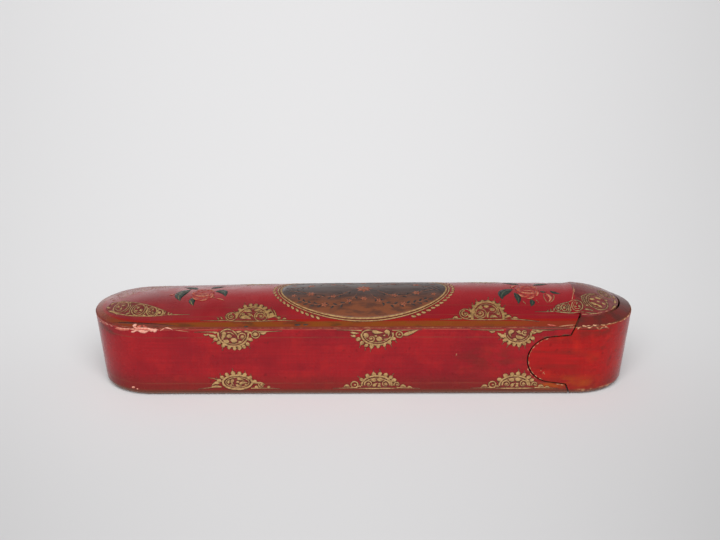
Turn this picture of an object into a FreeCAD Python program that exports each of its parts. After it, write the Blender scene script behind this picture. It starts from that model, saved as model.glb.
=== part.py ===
import FreeCAD, Part
import math
import os

import Sketcher

# Pen box of lacquered paper pulp: a domed sleeve, closed at one end, and a drawer that slides out.
# Frame: +X along the box towards the drawer's end, +Z up, origin on the table under the middle of the box.
# All sizes are millimetres.

Vec = FreeCAD.Vector
UP = Vec(0, 0, 1)

# Driving dimensions: alias, value, meaning.
SIZES = [
    ("box_length", 220.0, "length over the arris, end to end"),
    ("box_width", 48.0, "width over the arris"),
    ("arris_height", 31.0, "height of the arris, where the sides meet the domed top"),
    ("foot_inset", 3.6, "how far the sides lean in from the arris to the table"),
    ("foot_round", 3.0, "rounding of the bottom edge, cut in three flats"),
    ("arris_bevel", 0.5, "worn bevel along the arris"),
    ("crown_rise", 7.75, "height of the crest over the arris where it is highest"),
    ("crown_shift", 27.0, "how far from mid length that is, towards the drawer"),
    ("crown_fall", 2.6, "how much lower the crest is half a box length from there"),
    ("shell_wall", 2.4, "wall of the sleeve"),
    ("shell_bevel", 1.2, "bevel inside the bottom edge of the sleeve, and round the tray to match"),
    ("tray_fit", 0.3, "clearance round the tray in the sleeve"),
    ("tray_wall", 1.8, "wall and floor of the tray"),
    ("tray_bevel", 1.4, "bevel inside the bottom edge of the tray"),
    ("rim_gap", 0.5, "headroom between the tray's rim and the roof of the sleeve"),
    ("seam_gap", 0.6, "open seam between sleeve and drawer end"),
    ("shoulder_reach", 27.3, "from the drawer's end to the upper root of the ear"),
    ("shoulder_drop", 3.95, "from the arris down to the upper root of the ear"),
    ("shoulder_lean", 23.0, "lean of the seam from there up to the arris, degrees from upright"),
    ("crown_lean", 42.0, "lean of the seam over the crowned top, degrees from upright"),
    ("heel_reach", 28.2, "from the drawer's end to the lower root of the ear"),
    ("heel_height", 5.25, "height of the lower root of the ear"),
    ("heel_lean", 20.0, "lean of the seam under the ear, degrees from upright"),
    ("ear_reach", 44.05, "from the drawer's end to the nose of the ear"),
    ("ear_height", 16.3, "height of the middle of the ear's nose"),
    ("ear_radius", 10.1, "radius of the ear's nose"),
    ("tongue_inset", 4.8, "from the arris in to the seam round the tongue"),
    ("tongue_fit", 0.2, "clearance along both sides of the tongue"),
    ("tongue_slack", 0.7, "extra open seam at the tip of the tongue"),
    ("break_reach", 24.8, "from the drawer's end to the break across the tongue, on the crest"),
    ("break_radius", 110.0, "radius of the bowed break line, seen from above"),
    ("break_gap", 0.15, "glue line in the mended break"),
    ("tongue_lift", 0.7, "how far the mended tongue stands proud at the break"),
    ("bay_length", 34.0, "length of the ink bay's floor at the drawer's end of the tray"),
    ("divider_wall", 1.8, "thickness of the divider before the ink bay"),
    ("divider_drop", 4.0, "how far the divider's top lies under the tray's rim"),
    ("pot_fit", 0.3, "clearance round the inkwell in its bay"),
    ("pot_wall", 0.8, "sheet thickness of the inkwell"),
    ("well_drop", 4.6, "how far the inkwell's rim lies under the tray's rim"),
    ("mouth_lip", 1.6, "how far the flat rim reaches in over the inkwell's wall"),
    ("rim_wall", 1.0, "thickness of that rim, which fills the bay out to its walls"),
]

# Points along and across the box through which the crowned top is drawn.
CROWN_STATIONS = 29
CROWN_ROWS = 5
# Straight runs of the hollow's roof between the spine's two ends, and past each of them.
ROOF_RUNS = 6
ROOF_END_RUNS = 4
# How far a cutting solid runs past what it cuts.
MARGIN = 6.0
# How near to a level the points of an edge or face lie that counts as being on it.
ON_LEVEL = 1e-4

doc = FreeCAD.newDocument("PenBox")


# Sheet of driving dimensions

def make_sheet():
    sheet = doc.addObject("Spreadsheet::Sheet", "Sizes")
    for row, (alias, value, meaning) in enumerate(SIZES, start=1):
        sheet.set("A%d" % row, str(value))
        sheet.setAlias("A%d" % row, alias)
        sheet.set("B%d" % row, meaning)
    doc.recompute()
    return sheet


sheet = make_sheet()


def size(alias):
    return float(sheet.get(alias))


def bind(thing, prop, formula):
    # In a formula, every alias of the sheet is written bare.
    words = formula.split()
    known = {alias for alias, _, _ in SIZES}
    thing.setExpression(prop, " ".join("Sizes." + w if w in known else w for w in words))


# Formulas that several pieces share

HALF_LENGTH = "box_length / 2"
HALF_WIDTH = "box_width / 2"
SPINE_END = "( box_length - box_width ) / 2"
DRAFT = "atan( foot_inset / arris_height )"
TRAY_INSET = "( shell_wall + tray_fit )"
TRAY_FLOOR = "( shell_wall + tray_fit + tray_wall )"
TRAY_RIM = "( arris_height - shell_wall - rim_gap )"
SHOULDER_HEIGHT = "( arris_height - shoulder_drop )"


def half_width_at(height, inset):
    # Half width of the leaning sides at a height, less an inset.
    return "%s - foot_inset * ( 1 - ( %s ) / arris_height ) - ( %s )" % (HALF_WIDTH, height, inset)


# Sketches

def origin_plane(body, role):
    return [f for f in body.Origin.OriginFeatures if f.Role == role][0]


def slot_sketch(body, name, height, radius, shift="0"):
    # Outline with straight sides and half-round ends about the two ends of the spine.
    sketch = body.newObject("Sketcher::SketchObject", name)
    sketch.AttachmentSupport = [(origin_plane(body, "XY_Plane"), "")]
    sketch.MapMode = "FlatFace"
    bind(sketch, "AttachmentOffset.Base.z", height)
    spine = size("box_length") / 2 - size("box_width") / 2
    r = size("box_width") / 2 - size("tongue_inset")
    quarter = math.pi / 2
    sketch.addGeometry(Part.LineSegment(Vec(-spine, -r), Vec(spine, -r)))
    sketch.addGeometry(Part.ArcOfCircle(Part.Circle(Vec(spine, 0), UP, r), -quarter, quarter))
    sketch.addGeometry(Part.LineSegment(Vec(spine, r), Vec(-spine, r)))
    sketch.addGeometry(Part.ArcOfCircle(Part.Circle(Vec(-spine, 0), UP, r), quarter, 3 * quarter))
    for first, second in ((0, 1), (1, 2), (2, 3), (3, 0)):
        sketch.addConstraint(Sketcher.Constraint("Tangent", first, 2, second, 1))
    sketch.addConstraint(Sketcher.Constraint("Equal", 1, 3))
    sketch.addConstraint(Sketcher.Constraint("PointOnObject", 1, 3, -1))
    sketch.addConstraint(Sketcher.Constraint("PointOnObject", 3, 3, -1))
    named_size(sketch, "Radius", (1, r), radius)
    named_size(sketch, "DistanceX", (-1, 1, 1, 3, spine), "%s - ( %s )" % (SPINE_END, shift))
    named_size(sketch, "DistanceX", (3, 3, -1, 1, spine), SPINE_END)
    return sketch


def named_size(sketch, kind, where, formula):
    index = sketch.addConstraint(Sketcher.Constraint(kind, *where))
    bind(sketch, "Constraints[%d]" % index, formula)


# Leaning slot: the form that sleeve, hollow and tray have in common

def low_edges(shape, reach):
    # The level edges at the bottom, or up to a reach above it.
    low = shape.BoundBox.ZMin
    boxes = [edge.BoundBox for edge in shape.Edges]
    level = [box.ZLength < ON_LEVEL and box.ZMax - low < reach + ON_LEVEL for box in boxes]
    return ["Edge%d" % (i + 1) for i, fits in enumerate(level) if fits]


def leaning_slot(name, foot, top, inset, bevels):
    # The bottom edge is bevelled, and the two edges that leaves are bevelled again by the next size.
    body = doc.addObject("PartDesign::Body", name)
    sketch = slot_sketch(body, name + "Outline", foot, half_width_at(foot, inset))
    pad = body.newObject("PartDesign::Pad", name + "Sides")
    pad.Profile = sketch
    bind(pad, "Length", "%s - ( %s )" % (top, foot))
    bind(pad, "TaperAngle", DRAFT)
    doc.recompute()
    last = pad
    reach = 0.0
    for number, bevel in enumerate(bevels, start=1):
        edge = body.newObject("PartDesign::Chamfer", "%sEdge%d" % (name, number))
        edge.Base = (last, low_edges(last.Shape, reach))
        bind(edge, "Size", bevel)
        doc.recompute()
        last = edge
        reach = edge.Size.Value
    return body


def upright_slot(name, foot, top, inset, shift="0"):
    body = doc.addObject("PartDesign::Body", name)
    sketch = slot_sketch(body, name + "Outline", foot, "%s - ( %s )" % (HALF_WIDTH, inset), shift)
    pad = body.newObject("PartDesign::Pad", name + "Sides")
    pad.Profile = sketch
    bind(pad, "Length", "%s - ( %s )" % (top, foot))
    doc.recompute()
    return body


# Crowned top

def crown_height(x, y):
    # The crest falls away to both ends, and each cross-section is a parabola down to the arris.
    half_length = size("box_length") / 2
    half_width = size("box_width") / 2
    spine = half_length - half_width
    crest = size("crown_rise") - size("crown_fall") * ((x - size("crown_shift")) / half_length) ** 2
    past_spine = max(abs(x) - spine, 0.0)
    share = (past_spine ** 2 + y ** 2) / half_width ** 2
    return size("arris_height") + crest * (1 - share)


def crown_solid(name):
    # Everything under the crowned surface.
    reach = size("box_length") / 2 + MARGIN
    span = size("box_width") / 2 + MARGIN
    grid = []
    for i in range(CROWN_STATIONS):
        x = -reach + 2 * reach * i / (CROWN_STATIONS - 1)
        rows = [-span + 2 * span * j / (CROWN_ROWS - 1) for j in range(CROWN_ROWS)]
        grid.append([Vec(x, y, crown_height(x, y)) for y in rows])
    surface = Part.BSplineSurface()
    surface.interpolate(grid)
    depth = size("arris_height") + size("crown_rise") + MARGIN
    feature = doc.addObject("Part::Feature", name)
    feature.Shape = surface.toShape().extrude(Vec(0, 0, -depth))
    return feature


def roof_section(x):
    # Parabola across the hollow, one wall under the crown, closed down to the table.
    span = size("box_width") / 2 + MARGIN
    crest = crown_height(x, 0) - size("shell_wall")
    edge = crown_height(x, span) - size("shell_wall")
    arch = Part.BezierCurve()
    arch.setPoles([Vec(x, -span, edge), Vec(x, 0, 2 * crest - edge), Vec(x, span, edge)])
    corners = [Vec(x, span, edge), Vec(x, span, -MARGIN), Vec(x, -span, -MARGIN), Vec(x, -span, edge)]
    sides = [Part.LineSegment(a, b).toShape() for a, b in zip(corners, corners[1:])]
    return Part.Wire([arch.toShape()] + sides)


def roof_solid(name):
    # Everything under the roof of the hollow, which follows the crown in straight runs.
    half_width = size("box_width") / 2
    spine = size("box_length") / 2 - half_width
    reach = half_width + MARGIN
    middle = [spine * (2 * i / ROOF_RUNS - 1) for i in range(ROOF_RUNS + 1)]
    past = [spine + reach * (i + 1) / ROOF_END_RUNS for i in range(ROOF_END_RUNS)]
    stations = [-x for x in reversed(past)] + middle + past
    feature = doc.addObject("Part::Feature", name)
    feature.Shape = Part.makeLoft([roof_section(x) for x in stations], True, True)
    return feature


# Booleans

def common(name, base, tool):
    feature = doc.addObject("Part::Common", name)
    feature.Base = base
    feature.Tool = tool
    doc.recompute()
    return feature


def cut(name, base, tool):
    feature = doc.addObject("Part::Cut", name)
    feature.Base = base
    feature.Tool = tool
    doc.recompute()
    return feature


# The whole form, before the end is sawn off

OVERALL_TOP = "( arris_height + crown_rise + %g )" % MARGIN
# Three flats that touch a round of this radius: first the middle one, then one either side of it.
FOOT_FLATS = ["foot_round * ( 2 - sqrt( 2 ) )", "foot_round * ( tan( 22.5deg ) - tan( 11.25deg ) )"]
sides = leaning_slot("Sides", "0", OVERALL_TOP, "0", FOOT_FLATS)
crown = crown_solid("Crown")
sharp_blank = common("SharpBlank", sides, crown)


def arris_edges(shape):
    # The crowned face is the only free-form one, and the arris is all of its border.
    crowned = [face for face in shape.Faces if isinstance(face.Surface, Part.BSplineSurface)][0]
    return [i + 1 for i, edge in enumerate(shape.Edges) if any(edge.isSame(e) for e in crowned.Edges)]


blank = doc.addObject("Part::Chamfer", "Blank")
blank.Base = sharp_blank
blank.Edges = [(i, size("arris_bevel"), size("arris_bevel")) for i in arris_edges(sharp_blank.Shape)]
doc.recompute()

# Hollow of the sleeve, with a roof as thick as its walls

hollow_slot = leaning_slot("HollowSides", "shell_wall", OVERALL_TOP, "shell_wall", ["shell_bevel"])
hollow = common("Hollow", hollow_slot, roof_solid("Roof"))
shell = cut("Shell", blank, hollow)


# Seam that parts the drawer's end from the sleeve, seen from the side

def seam_sketch():
    # Down over the crown and the shoulder, round the ear's nose and off at the heel, closed round the box's end.
    sketch = doc.addObject("Sketcher::SketchObject", "SeamProfile")
    sketch.Placement = FreeCAD.Placement(Vec(), FreeCAD.Rotation(Vec(1, 0, 0), 90))
    end = size("box_length") / 2
    top = size("arris_height") + size("crown_rise") + MARGIN
    shoulder = Vec(end - size("shoulder_reach"), size("arris_height") - size("shoulder_drop"))
    heel = Vec(end - size("heel_reach"), size("heel_height"))
    nose = Vec(end - size("ear_reach") + size("ear_radius"), size("ear_height"))
    arris = Vec(shoulder.x + slope("shoulder_lean") * size("shoulder_drop"), size("arris_height"))
    crest = Vec(arris.x + slope("crown_lean") * (top - arris.y), top)
    foot = Vec(heel.x + slope("heel_lean") * (heel.y + MARGIN), -MARGIN)
    upper = touch_point(shoulder, nose, size("ear_radius"), 1)
    lower = touch_point(heel, nose, size("ear_radius"), -1)
    outside = end + MARGIN
    corners = [crest, arris, shoulder, upper]
    for a, b in zip(corners, corners[1:]):
        sketch.addGeometry(Part.LineSegment(a, b))
    first = math.atan2(upper.y - nose.y, upper.x - nose.x)
    last = math.atan2(lower.y - nose.y, lower.x - nose.x) + 2 * math.pi
    sketch.addGeometry(Part.ArcOfCircle(Part.Circle(nose, UP, size("ear_radius")), first, last))
    corners = [lower, heel, foot, Vec(outside, -MARGIN), Vec(outside, top), crest]
    for a, b in zip(corners, corners[1:]):
        sketch.addGeometry(Part.LineSegment(a, b))
    for a, b in ((2, 3), (3, 4)):
        sketch.addConstraint(Sketcher.Constraint("Tangent", a, 2, b, 1))
    for a, b in ((0, 1), (1, 2), (4, 5), (5, 6), (6, 7), (7, 8), (8, 0)):
        sketch.addConstraint(Sketcher.Constraint("Coincident", a, 2, b, 1))
    sketch.addConstraint(Sketcher.Constraint("Vertical", 7))
    for level in (6, 8):
        sketch.addConstraint(Sketcher.Constraint("Horizontal", level))
    named_size(sketch, "DistanceX", (-1, 1, 2, 1, shoulder.x), HALF_LENGTH + " - shoulder_reach")
    named_size(sketch, "DistanceY", (-1, 1, 2, 1, shoulder.y), SHOULDER_HEIGHT)
    named_size(sketch, "DistanceX", (-1, 1, 5, 1, heel.x), HALF_LENGTH + " - heel_reach")
    named_size(sketch, "DistanceY", (-1, 1, 5, 1, heel.y), "heel_height")
    named_size(sketch, "DistanceX", (-1, 1, 3, 3, nose.x), HALF_LENGTH + " - ear_reach + ear_radius")
    named_size(sketch, "DistanceY", (-1, 1, 3, 3, nose.y), "ear_height")
    named_size(sketch, "Radius", (3, size("ear_radius")), "ear_radius")
    named_size(sketch, "DistanceX", (-1, 1, 7, 1, outside), "%s + %g" % (HALF_LENGTH, MARGIN))
    named_size(sketch, "DistanceY", (7, 1, -1, 1, MARGIN), "%g" % MARGIN)
    named_size(sketch, "DistanceY", (-1, 1, 1, 1, arris.y), "arris_height")
    named_size(sketch, "DistanceY", (-1, 1, 8, 1, top), OVERALL_TOP)
    leans = (
        ((2, 1, 1, 1, arris.x - shoulder.x), "shoulder_lean", "shoulder_drop"),
        ((1, 1, 0, 1, crest.x - arris.x), "crown_lean", "( %s - arris_height )" % OVERALL_TOP),
        ((5, 1, 6, 1, foot.x - heel.x), "heel_lean", "( heel_height + %g )" % MARGIN),
    )
    for where, lean, rise in leans:
        named_size(sketch, "DistanceX", where, "%s * tan( %s * 1deg )" % (rise, lean))
    doc.recompute()
    return sketch


def slope(alias):
    # How far a lean moves sideways for each step up.
    return math.tan(math.radians(size(alias)))


def touch_point(root, centre, radius, side):
    # Where the line from root touches the circle, above it for side 1 and below it for side -1.
    gap = root - centre
    turn = math.acos(radius / gap.Length)
    angle = math.atan2(gap.y, gap.x) + side * turn
    return centre + Vec(math.cos(angle), math.sin(angle)) * radius


def across(name, profile):
    feature = doc.addObject("Part::Extrusion", name)
    feature.Base = profile
    feature.DirMode = "Custom"
    feature.Dir = Vec(0, 1, 0)
    feature.Solid = True
    feature.Symmetric = True
    bind(feature, "LengthFwd", "box_width + %g" % MARGIN)
    doc.recompute()
    return feature


seam = seam_sketch()
end_region = across("EndRegion", seam)
wide_seam = doc.addObject("Part::Offset2D", "WideSeam")
wide_seam.Source = seam
wide_seam.Join = "Intersection"
bind(wide_seam, "Value", "seam_gap")
doc.recompute()
wide_end_region = across("WideEndRegion", wide_seam)


# Drawer tray

tray_outside = leaning_slot("TrayOutside", TRAY_INSET, TRAY_RIM, TRAY_INSET, ["shell_bevel"])
tray_inside = leaning_slot("TrayInside", TRAY_FLOOR, OVERALL_TOP, TRAY_FLOOR, ["tray_bevel"])
drawer_tray = cut("DrawerTray", tray_outside, tray_inside)

# Sleeve, sawn off along the seam and broken across the root of its tongue

tongue_window = upright_slot("TongueWindow", TRAY_RIM, OVERALL_TOP, "tongue_inset")
tongue_plan = upright_slot("TonguePlan", TRAY_RIM, OVERALL_TOP, "tongue_inset + tongue_fit", "tongue_slack")


def break_cylinder(name, growth):
    feature = doc.addObject("Part::Cylinder", name)
    bind(feature, "Radius", "break_radius + " + growth)
    bind(feature, "Height", OVERALL_TOP)
    bind(feature, "Placement.Base.x", HALF_LENGTH + " - break_reach + break_radius")
    doc.recompute()
    return feature


sawn_shell = cut("SawnShell", shell, wide_end_region)
lost_root = common("LostRoot", tongue_window, break_cylinder("WideBreak", "break_gap"))
outer_sleeve = cut("OuterSleeve", sawn_shell, lost_root)
tongue_strip = common("TongueStrip", shell, tongue_plan)
level_tongue = common("LevelTongue", tongue_strip, break_cylinder("Break", "0"))


def lifted_tongue():
    # The mended tongue tips up about its own tip, so that it stands proud along the break.
    tip = Vec(size("box_length") / 2 - size("tongue_inset"), 0, size("arris_height"))
    run = size("break_reach") - size("tongue_inset")
    turn = math.degrees(math.atan(size("tongue_lift") / run))
    feature = doc.addObject("Part::Feature", "SleeveTongue")
    feature.Shape = level_tongue.Shape.copy()
    feature.Placement = FreeCAD.Placement(Vec(), FreeCAD.Rotation(Vec(0, 1, 0), turn), tip)
    return feature


sleeve_tongue = lifted_tongue()

# Drawer end: the sawn-off end of the form, glued round the tray, with a window for the tongue

end_block = common("EndBlock", blank, end_region)
end_cup = cut("EndCup", end_block, tray_outside)
drawer_end = cut("DrawerEnd", end_cup, tongue_window)

# Ink bay: a divider across the tray and a sheet-metal well behind it

RIM_SEAT = "( %s - well_drop - rim_wall )" % TRAY_RIM
BAY_START = "%s + %s - bay_length" % (SPINE_END, half_width_at(TRAY_FLOOR, TRAY_FLOOR))
WELL_START = "%s + pot_fit" % BAY_START
POT_RADIUS = half_width_at(TRAY_FLOOR, TRAY_FLOOR + " + tray_bevel + pot_fit")
RIM_RADIUS = half_width_at(RIM_SEAT, TRAY_FLOOR + " + pot_fit")


def divider():
    plate = doc.addObject("Part::Box", "DividerPlate")
    bind(plate, "Length", "divider_wall")
    bind(plate, "Width", "box_width")
    bind(plate, "Height", "%s - divider_drop" % TRAY_RIM)
    bind(plate, "Placement.Base.x", "%s - divider_wall" % BAY_START)
    bind(plate, "Placement.Base.y", "- box_width / 2")
    doc.recompute()
    return common("InkDivider", plate, tray_inside)


def d_sketch(body, name, height, radius, lip="0"):
    # Flat towards the divider, half round about the end of the spine, and a lip smaller all round.
    sketch = body.newObject("Sketcher::SketchObject", name)
    sketch.AttachmentSupport = [(origin_plane(body, "XY_Plane"), "")]
    sketch.MapMode = "FlatFace"
    bind(sketch, "AttachmentOffset.Base.z", height)
    spine = size("box_length") / 2 - size("box_width") / 2
    r = size("box_width") / 4
    flat = spine - r
    corners = [Vec(spine, r), Vec(flat, r), Vec(flat, -r), Vec(spine, -r)]
    for a, b in zip(corners, corners[1:]):
        sketch.addGeometry(Part.LineSegment(a, b))
    sketch.addGeometry(Part.ArcOfCircle(Part.Circle(Vec(spine, 0), UP, r), -math.pi / 2, math.pi / 2))
    for a, b in ((0, 1), (1, 2)):
        sketch.addConstraint(Sketcher.Constraint("Coincident", a, 2, b, 1))
    for a, b in ((2, 3), (3, 0)):
        sketch.addConstraint(Sketcher.Constraint("Tangent", a, 2, b, 1))
    for level in (0, 2):
        sketch.addConstraint(Sketcher.Constraint("Horizontal", level))
    sketch.addConstraint(Sketcher.Constraint("Vertical", 1))
    sketch.addConstraint(Sketcher.Constraint("PointOnObject", 3, 3, -1))
    named_size(sketch, "Radius", (3, r), "%s - ( %s )" % (radius, lip))
    named_size(sketch, "DistanceX", (-1, 1, 3, 3, spine), SPINE_END)
    named_size(sketch, "DistanceX", (-1, 1, 1, 1, flat), "%s + ( %s )" % (WELL_START, lip))
    return sketch


def inkwell_pot():
    body = doc.addObject("PartDesign::Body", "InkwellPot")
    pad = body.newObject("PartDesign::Pad", "PotBlock")
    pad.Profile = d_sketch(body, "PotOutline", TRAY_FLOOR, POT_RADIUS)
    bind(pad, "Length", "%s - %s" % (RIM_SEAT, TRAY_FLOOR))
    doc.recompute()
    high = pad.Shape.BoundBox.ZMax
    top = [
        "Face%d" % (i + 1)
        for i, face in enumerate(pad.Shape.Faces)
        if high - face.BoundBox.ZMin < ON_LEVEL
    ]
    hollowing = body.newObject("PartDesign::Thickness", "PotHollow")
    hollowing.Base = (pad, top)
    bind(hollowing, "Value", "pot_wall")
    hollowing.Reversed = True
    doc.recompute()
    return body


def inkwell_rim():
    body = doc.addObject("PartDesign::Body", "InkwellRim")
    pad = body.newObject("PartDesign::Pad", "RimPlate")
    pad.Profile = d_sketch(body, "RimOutline", RIM_SEAT, RIM_RADIUS)
    bind(pad, "Length", "rim_wall")
    doc.recompute()
    mouth = body.newObject("PartDesign::Pocket", "RimMouth")
    mouth.Profile = d_sketch(body, "RimMouthOutline", RIM_SEAT, POT_RADIUS, "mouth_lip")
    mouth.Type = "ThroughAll"
    mouth.Reversed = True
    doc.recompute()
    return body


# Sub-parts under their names

SUBPARTS = {
    "outer_sleeve": outer_sleeve,
    "sleeve_tongue": sleeve_tongue,
    "drawer_end": drawer_end,
    "drawer_tray": drawer_tray,
    "ink_divider": divider(),
    "inkwell_pot": inkwell_pot(),
    "inkwell_rim": inkwell_rim(),
}


def check(feature):
    if {"Invalid", "Error"} & set(feature.State):
        raise RuntimeError("%s failed: %s" % (feature.Name, feature.State))


def export():
    for label, feature in SUBPARTS.items():
        feature.Label = label
    doc.recompute()
    for feature in doc.Objects:
        check(feature)
    for label, feature in SUBPARTS.items():
        if feature.Shape.isNull() or not feature.Shape.isValid() or len(feature.Shape.Solids) != 1:
            raise RuntimeError("%s is not one sound solid" % label)
    os.makedirs("parts", exist_ok=True)
    for label, feature in SUBPARTS.items():
        feature.Shape.exportStep("parts/%s.step" % label)
        print("%-14s %10.1f mm3" % (label, feature.Shape.Volume))


export()
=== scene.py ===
import math
import random

import bpy
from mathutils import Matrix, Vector


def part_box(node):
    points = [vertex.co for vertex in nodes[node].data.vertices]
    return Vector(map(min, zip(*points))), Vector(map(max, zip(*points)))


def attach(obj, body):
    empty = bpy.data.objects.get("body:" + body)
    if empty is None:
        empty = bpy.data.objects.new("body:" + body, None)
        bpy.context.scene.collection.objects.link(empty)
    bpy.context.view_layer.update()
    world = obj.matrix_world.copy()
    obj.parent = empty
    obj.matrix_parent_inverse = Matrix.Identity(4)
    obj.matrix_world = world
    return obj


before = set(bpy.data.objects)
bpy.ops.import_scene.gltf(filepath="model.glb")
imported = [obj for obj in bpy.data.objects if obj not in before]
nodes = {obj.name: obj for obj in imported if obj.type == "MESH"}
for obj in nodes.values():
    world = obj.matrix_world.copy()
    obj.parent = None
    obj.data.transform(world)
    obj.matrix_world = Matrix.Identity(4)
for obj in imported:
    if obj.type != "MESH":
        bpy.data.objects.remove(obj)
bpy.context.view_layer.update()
mm = 0.001

# the box's own form, in millimetres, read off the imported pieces
sleeveLow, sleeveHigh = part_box("outer_sleeve")
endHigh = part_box("drawer_end")[1]
boxForm = {
    "halfLength": round((endHigh.x - sleeveLow.x) / 2 / mm),
    "halfWidth": round(sleeveHigh.y / mm),
    "top": sleeveHigh.z / mm,
    "arris": 31.0,       # height where the sides meet the dome
    "footInset": 3.6,    # how far the sides lean in at the table
    "crownShift": 27.0,  # the crest is highest this far towards the drawer
    "crownFall": 2.6,    # how much lower it is half a box length from there
}
boxForm["spine"] = boxForm["halfLength"] - boxForm["halfWidth"]
boxForm["crown"] = boxForm["top"] - boxForm["arris"]
print("frame loaded:", sorted(nodes))


# small helpers for building shader nodes

def linearPart(part):
    share = part / 255
    return share / 12.92 if share <= 0.04045 else ((share + 0.055) / 1.055) ** 2.4


def paint(red, green, blue):  # a colour as it is read off a screen
    return (linearPart(red), linearPart(green), linearPart(blue), 1.0)


def addNode(tree, kind, **settings):
    made = tree.nodes.new(kind)
    for key, value in settings.items():
        setattr(made, key, value)
    return made


def feed(tree, socket, value):
    if isinstance(value, bpy.types.NodeSocket):
        tree.links.new(value, socket)
    else:
        socket.default_value = value


def calc(tree, operation, *values):
    made = addNode(tree, "ShaderNodeMath", operation=operation)
    for socket, value in zip(made.inputs, values):
        feed(tree, socket, value)
    return made.outputs[0]


def fade(tree, value, low, high, start=0.0, end=1.0):  # smooth step from low to high
    made = addNode(tree, "ShaderNodeMapRange", interpolation_type="SMOOTHSTEP")
    for socket, given in zip(made.inputs, (value, low, high, start, end)):
        feed(tree, socket, given)
    return made.outputs[0]


def blendColour(tree, share, first, second, mode="MIX"):
    made = addNode(tree, "ShaderNodeMix", data_type="RGBA", blend_type=mode)
    feed(tree, made.inputs[0], share)
    feed(tree, made.inputs[6], first)
    feed(tree, made.inputs[7], second)
    return made.outputs[2]


def grain(tree, place, stretch, scale, detail=3.0):  # noise stretched along the axes
    spread = addNode(tree, "ShaderNodeVectorMath", operation="MULTIPLY")
    feed(tree, spread.inputs[0], place)
    feed(tree, spread.inputs[1], stretch)
    made = addNode(tree, "ShaderNodeTexNoise")
    feed(tree, made.inputs["Vector"], spread.outputs[0])
    feed(tree, made.inputs["Scale"], scale)
    feed(tree, made.inputs["Detail"], detail)
    return made.outputs["Fac"]


def startGroup(name, inputs, outputs):
    group = bpy.data.node_groups.new(name, "ShaderNodeTree")
    for label, kind, value in inputs:
        socket = group.interface.new_socket(name=label, in_out="INPUT", socket_type="NodeSocket" + kind)
        if value is not None:
            socket.default_value = value
    for label, kind in outputs:
        group.interface.new_socket(name=label, in_out="OUTPUT", socket_type="NodeSocket" + kind)
    return group, group.nodes.new("NodeGroupInput").outputs, group.nodes.new("NodeGroupOutput").inputs


def useGroup(tree, group, **values):
    made = addNode(tree, "ShaderNodeGroup", node_tree=group)
    for label, value in values.items():
        feed(tree, made.inputs[label], value)
    return made.outputs


def startMaterial(name):
    made = bpy.data.materials.new(name)
    made.use_nodes = True
    tree = made.node_tree
    place = addNode(tree, "ShaderNodeTexCoord").outputs["Object"]
    return made, tree, tree.nodes["Principled BSDF"], place


# node group: where a point lies on the box, in millimetres

def makeBoxMeasures():
    group, given, out = startGroup(
        "box measures",
        [("Place", "Vector", None)],
        [(label, "Float") for label in ("Along", "Height", "Inset", "Depth", "Top", "Edge")],
    )
    scaled = addNode(group, "ShaderNodeVectorMath", operation="SCALE")
    feed(group, scaled.inputs[0], given["Place"])
    feed(group, scaled.inputs["Scale"], 1 / mm)
    parts = addNode(group, "ShaderNodeSeparateXYZ")
    feed(group, parts.inputs[0], scaled.outputs[0])
    along, across, height = parts.outputs
    beyond = calc(group, "SUBTRACT", calc(group, "ABSOLUTE", along), boxForm["spine"])
    past = calc(group, "MAXIMUM", beyond, 0.0)
    square = calc(group, "MULTIPLY_ADD", past, past, calc(group, "MULTIPLY", across, across))
    inset = calc(group, "SUBTRACT", boxForm["halfWidth"], calc(group, "SQRT", square))
    # the sides lean, the crest falls to the ends and each cross-section is a parabola
    drop = calc(group, "SUBTRACT", boxForm["arris"], height)
    lean = calc(group, "MULTIPLY", drop, boxForm["footInset"] / boxForm["arris"])
    sideDepth = calc(group, "SUBTRACT", inset, lean)
    fromCrest = calc(group, "SUBTRACT", along, boxForm["crownShift"])
    share = calc(group, "DIVIDE", fromCrest, boxForm["halfLength"])
    fall = calc(group, "MULTIPLY", calc(group, "MULTIPLY", share, share), boxForm["crownFall"])
    crest = calc(group, "SUBTRACT", boxForm["crown"], fall)
    bow = calc(group, "SUBTRACT", 1.0, calc(group, "DIVIDE", square, boxForm["halfWidth"] ** 2))
    roofDepth = calc(group, "ADD", calc(group, "MULTIPLY", crest, bow), drop)
    depth = calc(group, "MINIMUM", calc(group, "MINIMUM", sideDepth, roofDepth), height)
    top = calc(group, "GREATER_THAN", sideDepth, roofDepth)
    side = calc(group, "SUBTRACT", 1.0, top)
    edge = calc(group, "MULTIPLY_ADD", top, inset, calc(group, "MULTIPLY", drop, side))
    found = {"Along": along, "Height": height, "Inset": inset, "Depth": depth, "Top": top, "Edge": edge}
    for label, value in found.items():
        feed(group, out[label], value)
    return group


boxMeasures = makeBoxMeasures()


# node group: the mottled, streaky tone of old lacquer

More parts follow.
